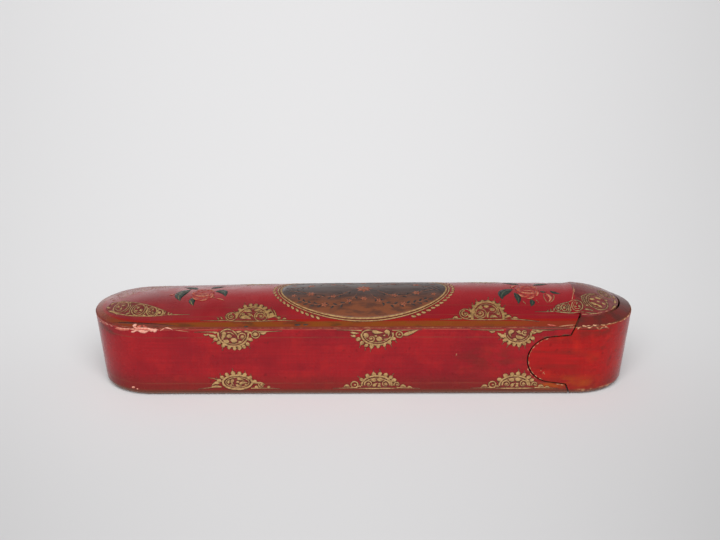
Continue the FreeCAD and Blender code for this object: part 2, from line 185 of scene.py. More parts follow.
def makeLacquerTone():
    group, given, out = startGroup(
        "lacquer tone",
        [("Place", "Vector", None)] + [(label, "Color", None) for label in ("Ground", "Deep", "Bright")],
        [("Color", "Color"), ("Height", "Float"), ("Rough", "Float")],
    )
    place = given["Place"]
    cloud = grain(group, place, (1, 1, 1.6), 42, 4)
    patch = grain(group, place, (1, 1, 1), 150, 4)
    streak = grain(group, place, (0.03, 1, 1), 1500, 3)
    thread = grain(group, place, (1, 0.08, 0.08), 1300, 2)
    fleck = grain(group, place, (1, 1, 1), 360, 2)
    colour = blendColour(group, fade(group, cloud, 0.38, 0.68, 0.0, 0.75), given["Ground"], given["Deep"])
    colour = blendColour(group, fade(group, patch, 0.5, 0.75, 0.0, 0.6), colour, given["Bright"])
    weave = fade(group, thread, 0.3, 0.7, 0.96, 1.03)
    shade = calc(group, "MULTIPLY", fade(group, streak, 0.3, 0.75, 0.9, 1.07), weave)
    shade = calc(group, "MULTIPLY", shade, fade(group, fleck, 0.66, 0.76, 1.0, 0.7))
    grey = addNode(group, "ShaderNodeCombineColor")
    for socket in grey.inputs[:3]:
        feed(group, socket, shade)
    colour = blendColour(group, 1.0, colour, grey.outputs[0], "MULTIPLY")
    relief = calc(group, "MULTIPLY_ADD", streak, 0.5, calc(group, "MULTIPLY", thread, 0.35))
    feed(group, out["Color"], colour)
    feed(group, out["Height"], calc(group, "MULTIPLY_ADD", patch, 0.6, relief))
    feed(group, out["Rough"], fade(group, patch, 0.3, 0.75, 0.2, 0.34))
    return group


lacquerTone = makeLacquerTone()


# node group: a painted line or band between two values of a measure, broken up by wear

def makeBandMask():
    group, given, out = startGroup(
        "band mask",
        [
            ("Place", "Vector", None), ("Measure", "Float", 0.0), ("Middle", "Float", 0.0),
            ("Width", "Float", 1.0), ("Soft", "Float", 0.15), ("Worn", "Float", 0.4),
        ],
        [("Mask", "Float")],
    )
    wander = calc(group, "SUBTRACT", grain(group, given["Place"], (1, 1, 1), 180, 3), 0.5)
    measure = calc(group, "MULTIPLY_ADD", wander, 0.5, given["Measure"])
    gap = calc(group, "ABSOLUTE", calc(group, "SUBTRACT", measure, given["Middle"]))
    half = calc(group, "MULTIPLY", given["Width"], 0.5)
    inner = calc(group, "SUBTRACT", half, given["Soft"])
    mask = fade(group, gap, inner, calc(group, "ADD", half, given["Soft"]), 1.0, 0.0)
    rub = fade(group, grain(group, given["Place"], (0.4, 1, 1), 420, 3), 0.45, 0.65)
    keep = calc(group, "SUBTRACT", 1.0, calc(group, "MULTIPLY", rub, given["Worn"]))
    feed(group, out["Mask"], calc(group, "MULTIPLY", mask, keep))
    return group


bandMask = makeBandMask()


# node group: ragged losses along the arris, where the lacquer has chipped off

def makeChipMask():
    group, given, out = startGroup(
        "chip mask",
        [("Place", "Vector", None), ("Edge", "Float", 0.0), ("Reach", "Float", 1.0)],
        [("Mask", "Float"), ("Rim", "Float")],
    )
    coarse = grain(group, given["Place"], (1, 1, 1), 330, 2)
    fine = grain(group, given["Place"], (1, 1, 1), 1300, 2)
    ragged = calc(group, "MULTIPLY_ADD", coarse, 2.6, calc(group, "MULTIPLY", fine, 1.5))
    limit = calc(group, "MULTIPLY", given["Reach"], calc(group, "SUBTRACT", ragged, 1.3))
    gap = calc(group, "SUBTRACT", limit, given["Edge"])
    feed(group, out["Mask"], fade(group, gap, -0.05, 0.1))
    feed(group, out["Rim"], fade(group, gap, -0.55, 0.0))
    return group


chipMask = makeChipMask()


def profileAlong(tree, along, stops):  # a value that follows the box from end to end
    ramp = addNode(tree, "ShaderNodeValToRGB")
    share = fade(tree, along, -boxForm["halfLength"], boxForm["halfLength"])
    share.node.interpolation_type = "LINEAR"
    feed(tree, ramp.inputs[0], share)
    points = ramp.color_ramp.elements
    while len(points) < len(stops):
        points.new(0.5)
    for point, (x, value) in zip(points, stops):
        point.position = (x + boxForm["halfLength"]) / (2 * boxForm["halfLength"])
        point.color = (value, value, value, 1.0)
    return ramp.outputs[0]


# materials of the pen box's lacquer

lacquerColours = {
    "ground": paint(139, 20, 27),
    "deep": paint(116, 16, 26),
    "bright": paint(154, 24, 26),
    "crest": paint(158, 34, 40),
    "dust": paint(128, 58, 58),
    "endGround": paint(150, 18, 18),
    "endDeep": paint(126, 18, 16),
    "endBright": paint(168, 28, 12),
    "band": paint(114, 58, 18),
    "bandDark": paint(78, 46, 24),
    "arris": paint(84, 36, 22),
    "strip": paint(132, 26, 10),
    "olive": paint(118, 52, 38),
    "fineLine": paint(166, 84, 64),
    "foot": paint(92, 50, 34),
    "pulp": paint(112, 72, 54),
    "inside": paint(46, 16, 13),
    "rim": paint(80, 36, 31),
    # a brown stain colour, also used as painted shade low on the flanks
    "tan": paint(166, 116, 80),
    "stainAndShade": paint(84, 32, 22),
    "amber": paint(150, 68, 14),
}


def finishLacquer(tree, shader, colour, rough, height, depth):
    # under the skin the cut pulp shows, and the hollow has a dark wash
    colour = blendColour(tree, fade(tree, depth, 0.25, 0.5), colour, lacquerColours["pulp"])
    colour = blendColour(tree, fade(tree, depth, 1.9, 2.3), colour, lacquerColours["inside"])
    bump = addNode(tree, "ShaderNodeBump")
    bump.inputs["Strength"].default_value = 0.3
    bump.inputs["Distance"].default_value = 0.12 * mm
    feed(tree, bump.inputs["Height"], height)
    feed(tree, shader.inputs["Base Color"], colour)
    feed(tree, shader.inputs["Roughness"], rough)
    feed(tree, shader.inputs["Normal"], bump.outputs[0])
    shader.inputs["Specular IOR Level"].default_value = 0.2


def between(tree, value, low, high, soft):  # 1 inside a range, soft at both ends
    rise = fade(tree, value, low - soft, low + soft)
    return calc(tree, "MULTIPLY", rise, fade(tree, value, high - soft, high + soft, 1.0, 0.0))


def patchMask(tree, place, at, along, height, soft):  # a cloudy patch of the flank
    cloud = fade(tree, grain(tree, place, (0.6, 1, 1.4), 260, 4), 0.38, 0.6)
    area = calc(
        tree, "MULTIPLY", between(tree, at["Along"], along[0], along[1], soft),
        between(tree, at["Height"], height[0], height[1], soft * 0.6),
    )
    return calc(tree, "MULTIPLY", cloud, area)


def makeRedLacquer():
    material, tree, shader, place = startMaterial("redLacquer")
    at = useGroup(tree, boxMeasures, Place=place)
    tone = useGroup(
        tree, lacquerTone, Place=place, Ground=lacquerColours["ground"], Deep=lacquerColours["deep"],
        Bright=lacquerColours["bright"],
    )
    colour = tone["Color"]
    top = at["Top"]
    flank = calc(tree, "SUBTRACT", 1.0, top)

    def addBand(colour, measure, side, middle, width, tint, soft=0.12, worn=0.5, share=1.0):
        mask = useGroup(
            tree, bandMask, Place=place, Measure=at[measure], Middle=middle, Width=width, Soft=soft,
            Worn=worn,
        )["Mask"]
        mask = calc(tree, "MULTIPLY", calc(tree, "MULTIPLY", mask, side), share)
        return blendColour(tree, mask, colour, tint)

    # the flank darkens towards the table, painted shade from the floor mixed with grime, and a cloudy patch
    # towards the drawer end is darker too
    low = calc(tree, "MULTIPLY", fade(tree, at["Height"], 3.0, 12.0, 0.55, 0.0), flank)
    colour = blendColour(tree, low, colour, lacquerColours["stainAndShade"])
    dusk = patchMask(tree, place, at, (38, 66), (11, 22), 9.0)
    colour = blendColour(tree, calc(tree, "MULTIPLY", dusk, 0.4), colour, lacquerColours["stainAndShade"])
    soot = patchMask(tree, place, at, (-107, -100), (26, 29), 1.5)
    colour = blendColour(tree, calc(tree, "MULTIPLY", soot, 0.8), colour, lacquerColours["stainAndShade"])
    amber = patchMask(tree, place, at, (70, 83), (2, 6.5), 3.0)
    colour = blendColour(tree, calc(tree, "MULTIPLY", amber, 0.75), colour, lacquerColours["amber"])
    # old varnish has gone dull on the dome
    dull = fade(tree, grain(tree, place, (1, 1, 1), 90, 4), 0.3, 0.7, 0.12, 0.36)
    dull = calc(tree, "MULTIPLY", dull, fade(tree, at["Along"], -70.0, 60.0, 1.4, 0.4))
    colour = blendColour(tree, calc(tree, "MULTIPLY", dull, top), colour, lacquerColours["dust"])
    # painted shade and light: the dome is darker towards its edges and, away from the left end, lighter along
    # its crest, as the light falls
    dim = calc(tree, "MULTIPLY", top, fade(tree, at["Along"], -40.0, 60.0, 0.35, 0.6))
    dim = calc(tree, "MULTIPLY", dim, fade(tree, at["Inset"], 8.0, 18.0, 1.0, 0.0))
    colour = blendColour(tree, dim, colour, lacquerColours["deep"])
    crest = calc(tree, "MULTIPLY", top, fade(tree, at["Inset"], 10.0, 20.0, 0.0, 0.5))
    crest = calc(tree, "MULTIPLY", crest, fade(tree, at["Along"], -90.0, -60.0))
    colour = blendColour(tree, crest, colour, lacquerColours["crest"])
    # thin lines along the flank and the dome
    for height in (26.7, 5.7):
        colour = addBand(colour, "Height", flank, height, 0.34, lacquerColours["olive"], worn=0.6, share=0.8)
    colour = addBand(
        colour, "Height", flank, 30.2, 0.24, lacquerColours["fineLine"], soft=0.08, worn=0.7, share=0.7,
    )
    for inset in (5.8, 11.0):
        colour = addBand(colour, "Inset", top, inset, 0.35, lacquerColours["olive"], worn=0.7, share=0.6)
    # ochre band beside the arris, with a clear red strip over it
    colour = addBand(colour, "Inset", top, 3.5, 1.0, lacquerColours["strip"], soft=0.25, worn=0.2, share=0.85)
    smoke = fade(tree, grain(tree, place, (0.35, 1, 1), 300, 4), 0.52, 0.68, 0.0, 0.8)
    ochre = blendColour(tree, smoke, lacquerColours["band"], lacquerColours["bandDark"])
    bandShare = profileAlong(
        tree, at["Along"],
        [(-110, 0.5), (-96, 0.75), (-74, 0.9), (-60, 1.0), (56, 0.95), (66, 0.6), (84, 0.4)],
    )
    colour = addBand(colour, "Inset", top, 1.7, 2.4, ochre, soft=0.25, worn=0.2, share=bandShare)
    arris = fade(tree, at["Edge"], 0.2, 0.75, 1.0, 0.0)
    colour = blendColour(tree, calc(tree, "MULTIPLY", arris, 0.8), colour, lacquerColours["arris"])
    # the foot is rubbed brown
    colour = blendColour(tree, fade(tree, at["Height"], 1.9, 3.4, 0.9, 0.0), colour, lacquerColours["foot"])
    colour = blendColour(tree, fade(tree, at["Height"], 0.3, 1.6, 0.6, 0.0), colour, lacquerColours["inside"])
    # the arris is rubbed through in places
    chip = useGroup(tree, chipMask, Place=place, Edge=at["Edge"], Reach=0.3)
    colour = blendColour(tree, calc(tree, "MULTIPLY", chip["Mask"], 0.4), colour, lacquerColours["tan"])
    height = calc(tree, "SUBTRACT", tone["Height"], calc(tree, "MULTIPLY", chip["Mask"], 1.5))
    dull = calc(tree, "MULTIPLY", calc(tree, "MAXIMUM", chip["Mask"], arris), 0.95)
    finishLacquer(tree, shader, colour, calc(tree, "MAXIMUM", tone["Rough"], dull), height, at["Depth"])
    return material


def makeTongueLacquer():
    material, tree, shader, place = startMaterial("tongueLacquer")
    at = useGroup(tree, boxMeasures, Place=place)
    tone = useGroup(
        tree, lacquerTone, Place=place, Ground=paint(116, 28, 32), Deep=paint(96, 28, 30),
        Bright=paint(128, 40, 40),
    )
    # the varnish has greyed towards the tip
    scuff = fade(tree, grain(tree, place, (1, 1, 1), 300, 5), 0.36, 0.66, 0.1, 0.65)
    scuff = calc(tree, "MULTIPLY", scuff, fade(tree, at["Along"], 84.0, 97.0, 0.1, 1.0))
    colour = blendColour(tree, scuff, tone["Color"], paint(118, 76, 70))
    depth = calc(tree, "MINIMUM", at["Depth"], 1.0)
    finishLacquer(tree, shader, colour, tone["Rough"], tone["Height"], depth)
    return material


def makeEndLacquer():
    material, tree, shader, place = startMaterial("endLacquer")
    at = useGroup(tree, boxMeasures, Place=place)
    tone = useGroup(
        tree, lacquerTone, Place=place, Ground=lacquerColours["endGround"], Deep=lacquerColours["endDeep"],
        Bright=lacquerColours["endBright"],
    )
    colour = tone["Color"]
    flank = calc(tree, "SUBTRACT", 1.0, at["Top"])
    # painted shade: the flank darkens towards the table
    low = calc(tree, "MULTIPLY", fade(tree, at["Height"], 3.0, 12.0, 0.4, 0.0), flank)
    colour = blendColour(tree, low, colour, lacquerColours["stainAndShade"])
    # long rubbed streaks, a brown stain under the arris and an amber patch by the heel
    streak = fade(tree, grain(tree, place, (0.12, 1, 0.8), 420, 4), 0.5, 0.72, 0.0, 0.4)
    colour = blendColour(tree, calc(tree, "MULTIPLY", streak, flank), colour, lacquerColours["stainAndShade"])
    stainAndShade = patchMask(tree, place, at, (85, 98), (26.5, 31), 2.5)
    colour = blendColour(tree, calc(tree, "MULTIPLY", stainAndShade, 0.45), colour, lacquerColours["stainAndShade"])
    amber = patchMask(tree, place, at, (76, 92), (3, 8), 4.0)
    colour = blendColour(tree, calc(tree, "MULTIPLY", amber, 0.5), colour, lacquerColours["amber"])
    # the narrow top rim is brown with handling
    rub = fade(tree, grain(tree, place, (1, 1, 1), 240, 4), 0.35, 0.65, 0.75, 1.0)
    colour = blendColour(tree, calc(tree, "MULTIPLY", rub, at["Top"]), colour, lacquerColours["rim"])
    colour = blendColour(tree, fade(tree, at["Height"], 1.4, 3.0, 0.85, 0.0), colour, lacquerColours["foot"])
    chip = useGroup(tree, chipMask, Place=place, Edge=at["Edge"], Reach=0.3)
    colour = blendColour(tree, calc(tree, "MULTIPLY", chip["Rim"], 0.6), colour, lacquerColours["bandDark"])
    colour = blendColour(tree, chip["Mask"], colour, lacquerColours["tan"])
    # bare pulp along the bottom edge
    worn = fade(tree, grain(tree, place, (1, 1, 1), 420, 3), 0.45, 0.6)
    worn = calc(tree, "MULTIPLY", worn, between(tree, at["Height"], 1.2, 2.6, 0.4))
    worn = calc(tree, "MULTIPLY", worn, between(tree, at["Along"], 84.0, 101.0, 2.0))
    colour = blendColour(tree, calc(tree, "MULTIPLY", worn, 0.8), colour, lacquerColours["tan"])
    height = calc(tree, "SUBTRACT", tone["Height"], chip["Mask"])
    arris = fade(tree, at["Edge"], 0.3, 0.8, 0.95, 0.0)
    finishLacquer(tree, shader, colour, calc(tree, "MAXIMUM", tone["Rough"], arris), height, at["Depth"])
    return material


def makeTrayLacquer():
    material, tree, shader, place = startMaterial("trayLacquer")
    tone = useGroup(
        tree, lacquerTone, Place=place, Ground=paint(86, 32, 26), Deep=paint(58, 24, 20),
        Bright=paint(112, 40, 28),
    )
    parts = addNode(tree, "ShaderNodeSeparateXYZ")
    feed(tree, parts.inputs[0], place)
    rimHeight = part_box("drawer_tray")[1].z
    rubbed = fade(tree, parts.outputs[2], rimHeight - 0.5 * mm, rimHeight - 0.05 * mm, 0.0, 0.7)
    blot = fade(tree, grain(tree, place, (1, 1, 1), 110, 4), 0.48, 0.6)
    spill = calc(tree, "MULTIPLY", fade(tree, parts.outputs[0], 0.03, 0.085), blot)
    colour = blendColour(tree, rubbed, tone["Color"], paint(128, 84, 58))
    colour = blendColour(tree, calc(tree, "MULTIPLY", spill, 0.8), colour, paint(24, 19, 20))
    bump = addNode(tree, "ShaderNodeBump")
    bump.inputs["Strength"].default_value = 0.4
    bump.inputs["Distance"].default_value = 0.15 * mm
    feed(tree, bump.inputs["Height"], tone["Height"])
    feed(tree, shader.inputs["Base Color"], colour)
    feed(tree, shader.inputs["Roughness"], calc(tree, "ADD", tone["Rough"], 0.12))
    feed(tree, shader.inputs["Normal"], bump.outputs[0])
    shader.inputs["Specular IOR Level"].default_value = 0.35
    return material


def makeAgedBrass():
    material, tree, shader, place = startMaterial("agedBrass")
    tarnish = fade(tree, grain(tree, place, (1, 1, 1), 240, 5), 0.4, 0.68)
    scratch = grain(tree, place, (0.06, 1, 1), 2600, 2)
    colour = blendColour(tree, tarnish, paint(196, 162, 98), paint(104, 78, 42))
    parts = addNode(tree, "ShaderNodeSeparateXYZ")
    feed(tree, parts.inputs[0], place)
    ink = fade(tree, parts.outputs[2], 7 * mm, 13 * mm, 0.92, 0.0)
    feed(tree, shader.inputs["Base Color"], blendColour(tree, ink, colour, paint(26, 22, 22)))
    feed(tree, shader.inputs["Metallic"], calc(tree, "SUBTRACT", 1.0, ink))
    rough = fade(tree, calc(tree, "ADD", scratch, tarnish), 0.3, 1.4, 0.24, 0.55)
    feed(tree, shader.inputs["Roughness"], rough)
    return material


nodeFinishes = {
    "outer_sleeve": makeRedLacquer(),
    "sleeve_tongue": makeTongueLacquer(),
    "drawer_end": makeEndLacquer(),
    "drawer_tray": makeTrayLacquer(),
}
nodeFinishes["ink_divider"] = nodeFinishes["drawer_tray"]
nodeFinishes["inkwell_pot"] = makeAgedBrass()
nodeFinishes["inkwell_rim"] = nodeFinishes["inkwell_pot"]
for nodeName, finish in nodeFinishes.items():
    node = nodes[nodeName]
    node.data.materials.clear()
    node.data.materials.append(finish)
print("lacquer and brass on the packed pieces")


# paints for the ornament

def makePaint(name, light, dark, metallic, roughness, scale=900):
    material, tree, shader, place = startMaterial(name)
    blot = fade(tree, grain(tree, place, (1, 1, 1), scale, 4), 0.36, 0.66)
    feed(tree, shader.inputs["Base Color"], blendColour(tree, blot, light, dark))
    feed(tree, shader.inputs["Roughness"], fade(tree, blot, 0.0, 1.0, roughness, roughness + 0.15))
    shader.inputs["Metallic"].default_value = metallic
    shader.inputs["Specular IOR Level"].default_value = 0.3
    return material


paints = {
    "gold": makePaint("goldPaint", paint(166, 132, 86), paint(132, 99, 60), 0.0, 0.45),
    # a darker copy of the gold, painted shade to offset the stronger light on the dome
    "domeGoldWithPaintedShade": makePaint("domeGoldWithPaintedShade", paint(152, 118, 72), paint(116, 86, 50), 0.0, 0.45),
    "wornGold": makePaint("wornGoldPaint", paint(150, 124, 84), paint(104, 76, 52), 0.0, 0.5),
    "umber": makePaint("umber", paint(92, 32, 24), paint(78, 26, 20), 0.0, 0.5),
    "rouge": makePaint("rouge", paint(112, 26, 24), paint(94, 30, 24), 0.0, 0.5),
    "fadedGold": makePaint("fadedGold", paint(146, 112, 88), paint(128, 58, 52), 0.0, 0.45, 700),
    "tan": makePaint("bareEdge", paint(196, 146, 112), paint(150, 96, 66), 0.0, 0.7),
    "gesso": makePaint("gesso", paint(214, 156, 138), paint(192, 116, 98), 0.0, 0.8),
    "rawRed": makePaint("rawRed", paint(190, 98, 82), paint(160, 62, 48), 0.0, 0.7),
    "grime": makePaint("grime", paint(88, 48, 34), paint(104, 42, 30), 0.0, 0.6),
    "petalRed": makePaint("petalRed", paint(152, 42, 38), paint(128, 32, 32), 0.0, 0.4),
    "petalOrange": makePaint("petalOrange", paint(170, 74, 54), paint(150, 54, 42), 0.0, 0.4),
    "petalPale": makePaint("petalPale", paint(190, 122, 90), paint(166, 92, 66), 0.0, 0.4),
    "leaf": makePaint("leafGreen", paint(40, 50, 42), paint(30, 36, 34), 0.0, 0.4),
    "leafLight": makePaint("leafLight", paint(72, 84, 60), paint(52, 64, 50), 0.0, 0.4),
    "sepia": makePaint("sepia", paint(132, 80, 54), paint(104, 60, 42), 0.0, 0.4),
    "salmon": makePaint("salmon", paint(150, 84, 58), paint(126, 66, 48), 0.0, 0.4),
    "slate": makePaint("slate", paint(64, 52, 48), paint(44, 38, 38), 0.0, 0.4),
}


# brush strokes: a path, a width and how the width runs along it

def bow(start, bend, end):
    def at(t):
        s = 1 - t
        return tuple(s * s * a + 2 * s * t * b + t * t * c for a, b, c in zip(start, bend, end))
    return at


def turn(centre, reach, first, last, inner=1.0):  # round an ellipse, in degrees, drawing in to inner
    def at(t):
        angle = math.radians(first + (last - first) * t)
        draw = 1 + (inner - 1) * t
        return (centre[0] + reach[0] * draw * math.cos(angle), centre[1] + reach[1] * draw * math.sin(angle))
    return at


def commaWidth(t):  # round head, fine tail
    head = 0.3
    if t < head:
        return math.sqrt(1 - (1 - t / head) ** 2)
    return 1 - ((t - head) / (1 - head)) ** 1.2


def leafWidth(t):
    return math.sin(math.pi * t ** 0.8)


def lineWidth(t):  # even, with both ends drawn out
    return min(1.0, 5 * t, 5 * (1 - t))


def evenWidth(t):
    return 1.0


def tailWidth(t):
    return 1 - t


def roundWidth(t):
    return math.sqrt(max(0.0, 1 - (2 * t - 1) ** 2))


def stroke(path, width, run, steps=10):
    marks = []
    for step in range(steps + 1):
        t = step / steps
        u, v = path(t)
        marks.append((u, v, max(width * run(t), 0.05)))
    return marks


def bead(centre, length, width, angle):
    half = (math.cos(math.radians(angle)) * length / 2, math.sin(math.radians(angle)) * length / 2)
    start = (centre[0] - half[0], centre[1] - half[1])
    end = (centre[0] + half[0], centre[1] + half[1])
    return stroke(bow(start, centre, end), width, roundWidth, 6)


def curl(centre, radius, first, sweep, width):  # a scroll that winds in to a round eye
    return [
        stroke(turn(centre, (radius, radius), first, first + sweep, 0.35), width, tailWidth, 14),
        bead(centre, radius * 0.7, radius * 0.7, 0),
    ]


def moved(strokes, shift, flip=1):
    return [[(shift[0] + u, shift[1] + flip * v, w) for u, v, w in marks] for marks in strokes]


def spotOn(centre, reach, angle):  # a point on an ellipse
    return turn(centre, reach, angle, angle)(0)


# laying a flat drawing on the box

lays = {
    "top": {"start": lambda u, v: Vector((u, v, 0.1)), "way": Vector((0, 0, -1)), "least": 0.029},
    "front": {"start": lambda u, v: Vector((u, -0.1, v)), "way": Vector((0, 1, 0)), "least": 0.004},
    "back": {"start": lambda u, v: Vector((u, 0.1, v)), "way": Vector((0, -1, 0)), "least": 0.004},
}


def breakAt(y):  # the break across the tongue, in millimetres along the box
    return 85.2 + 110 - math.sqrt(110 ** 2 - y * y)


def acrossBreak(u, v):  # a slope from the sleeve up to the edge of the tongue
    foot, brow = 3.2 * mm, 0.4 * mm
    middle = breakAt(v / mm) * mm
    low = touch(["outer_sleeve"], "top", min(u, middle - brow), v)
    high = touch(["sleeve_tongue"], "top", max(u, middle + brow), v)
    if low is None or high is None:
        return low or high
    share = min(max((u - middle + foot) / (foot + brow), 0.0), 1.0)
    spot = low[0].lerp(high[0], share)
    spot.x = u
    return spot, low[1]


def touch(targets, layName, u, v):  # where the drawing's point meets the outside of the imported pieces
    if layName == "break":
        return acrossBreak(u, v)
    lay = lays[layName]
    nearest = None
    for name in targets:
        found, spot, normal, face = nodes[name].ray_cast(lay["start"](u, v), lay["way"])
        if found and -spot.dot(lay["way"]) >= lay["least"]:
            if nearest is None or spot.dot(lay["way"]) < nearest[0].dot(lay["way"]):
                nearest = (spot, normal)
    return nearest


def onlyOn(targets, layName, strokes):  # each stroke's longest run that lies on the piece
    kept = []
    for marks in strokes:
        runs = [[]]
        for u, v, w in marks:
            if touch(targets, layName, u * mm, v * mm):
                runs[-1].append((u, v, w))
            elif runs[-1]:
                runs.append([])
        best = max(runs, key=len)
        if len(best) > 2:
            kept.append(best)
    return kept


def nearestTouch(targets, layName, u, v):  # for a point that lies just past the edge of the piece
    for reach in range(1, 20):
        for angle in range(0, 360, 20):
            spot = touch(targets, layName, *spotOn((u, v), (0.1 * mm * reach, 0.1 * mm * reach), angle))
            if spot:
                return spot
    return None


def settle(piece, targets, layName):
    for vertex in piece.data.vertices:
        u, v, rise = vertex.co
        spot = touch(targets, layName, u, v) or nearestTouch(targets, layName, u, v)
        if spot is None:
            print("off the box:", piece.name, vertex.co)
            continue
        vertex.co = spot[0] + spot[1] * rise


def finishPiece(piece, finish, body):
    bpy.ops.object.select_all(action="DESELECT")
    piece.select_set(True)
    bpy.context.view_layer.objects.active = piece
    bpy.ops.object.mode_set(mode="EDIT")
    bpy.ops.mesh.select_all(action="SELECT")
    bpy.ops.mesh.normals_make_consistent(inside=False)
    bpy.ops.object.mode_set(mode="OBJECT")
    bpy.ops.object.shade_smooth()
    piece.data.materials.clear()
    piece.data.materials.append(finish)
    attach(piece, body)


def paintStrokes(name, strokes, targets, layName, finish, body, lift=0.03, relief=0.1):
    strokes = onlyOn(targets, layName, strokes)
    bpy.ops.object.select_all(action="DESELECT")
    bpy.ops.curve.primitive_nurbs_path_add(location=(0, 0, 0))
    drawing = bpy.context.object
    line = drawing.data
    line.splines.clear()
    line.twist_mode = "Z_UP"
    line.bevel_depth = 0.5 * mm
    line.bevel_resolution = 1
    line.use_fill_caps = True
    for marks in strokes:
        spline = line.splines.new("POLY")
        spline.points.add(len(marks) - 1)
        for point, (u, v, w) in zip(spline.points, marks):
            point.co = (u * mm, v * mm, 0, 1)
            point.radius = w
    bpy.ops.object.convert(target="MESH")
    piece = bpy.context.object
    piece.name = name
    piece.data.name = name
    bpy.ops.transform.resize(value=(1, 1, relief))
    bpy.ops.transform.translate(value=(0, 0, lift * mm))
    bpy.ops.object.transform_apply(location=True, rotation=True, scale=True)
    settle(piece, targets, layName)
    finishPiece(piece, finish, body)
    return piece


# brush marks that the motifs are made of

def dot(u, v, size, angle=0.0, stretch=1.15):
    return bead((u, v), size * stretch, size, angle)


def ring(u, v, reach, width):
    return stroke(turn((u, v), (reach, reach), 0, 366), width, evenWidth, 20)


def leaf(start, bend, end, width):
    return stroke(bow(start, bend, end), width, leafWidth, 9)


def comma(start, bend, end, width):
    return stroke(bow(start, bend, end), width, commaWidth, 9)


def thread(start, bend, end, width):
    return stroke(bow(start, bend, end), width, lineWidth, 12)


def tail(start, bend, end, width):
    return stroke(bow(start, bend, end), width, tailWidth, 12)


def beadsOn(spots, size, draw):  # beads that lean outward, most with a brush hair
    marks = []
    for u, v in spots:
        slant = math.degrees(math.atan2(v - 1.5, u)) + draw.uniform(-20, 20)
        big = size * draw.uniform(1.0, 1.22)
        marks.append(bead((u * 0.97, v * 0.96), big * 1.15, big, slant))
        if draw.random() < 0.7:
            near = (u * 1.06, v * 1.05 + 0.4)
            far = (u * 1.17 + draw.uniform(-0.6, 0.6), v * 1.12 + 1.2)
            marks.append(tail(near, near, far, 0.24))
    return marks


def hatch(centre, reach, rows=8):  # even rows that fill an oval above the line
    marks = []
    for row in range(rows):
        share = (2 * row + 1) / rows - 1
        half = reach[0] * math.sqrt(1 - share ** 2)
        v = centre[1] + reach[1] * share
        if v > 0:
            ends = (centre[0] - half, v), (centre[0], v), (centre[0] + half, v)
            marks.append(stroke(bow(*ends), 2.4 * reach[1] / rows, evenWidth, 8))
    return marks


def gild(name, strokes, targets, layName, finish="gold", fills=()):  # gold over a wider brown ground
    if fills:
        paintStrokes(
            name + "_fill", fills, targets, layName, paints["rouge"], "sleeve", 0.0, 0.02,
        )
    ground = [[(u, v, w + 0.4) for u, v, w in marks] for marks in strokes]
    paintStrokes(
        name + "_ground", ground, targets, layName, paints["umber"], "sleeve", 0.01, 0.04,
    )
    paintStrokes(name, strokes, targets, layName, paints[finish], "sleeve")


# gold motifs that stand on the foot line or hang from the arris: u along, v away from the line

def berryMotif(lap, reach, draw):
    marks = [
        stroke(turn(lap, reach, 188, -8), 0.8, evenWidth, 28),
        stroke(turn(lap, (5.0, 4.6), 168, 12), 0.32, evenWidth, 22),
        comma((-3.9, 0.4), (-3.3, 2.6), (-5.0, 4.3), 2.1),
        thread((-5.4, 1.2), (-3.2, -1.4), (-0.6, -0.1), 0.6),
        thread((-0.6, -0.1), (0.8, 0.6), (1.7, 2.8), 0.6),
        thread((-2.8, 1.0), (-1.2, 0.4), (0.3, 2.0), 0.45),
        dot(-1.7, 2.6, 1.9), dot(0.1, 4.5, 2.4), dot(-2.9, 5.0, 2.0), dot(2.5, 5.3, 1.3), dot(1.9, 0.9, 0.8),
        leaf((0.9, 0.5), (2.4, 0.9), (3.4, 0.1), 0.9), leaf((4.3, 0.2), (5.2, 0.8), (6.6, 0.2), 0.9),
        leaf((5.9, 1.2), (6.9, 0.5), (7.5, 1.9), 1.0), ring(8.8, 1.8, 1.6, 0.42), dot(8.7, 1.8, 1.9),
        leaf((10.6, 0.9), (11.9, 1.9), (13.2, 0.7), 1.2), tail((10.0, 0.4), (15.0, 0.6), (19.5, 0.2), 0.5),
        leaf((-6.9, 2.4), (-8.6, 3.1), (-10.0, 1.5), 1.5), leaf((-9.9, 1.5), (-11.0, 2.4), (-12.0, 1.6), 0.8),
        leaf((-6.4, 0.6), (-7.4, 1.4), (-8.0, 0.5), 1.0), tail((-7.0, 0.8), (-10.0, 0.5), (-15.5, 0.7), 0.5),
    ]
    marks += curl((3.6, 2.8), 1.9, 150, 430, 0.8)
    spots = (
        (-7.3, 4.1), (-6.1, 5.7), (-4.3, 7.1), (-1.9, 7.9), (0.3, 8.4), (2.3, 8.2), (4.1, 7.6), (5.7, 6.4),
        (6.9, 4.3),
    )
    return marks + beadsOn(spots, 1.5, draw)


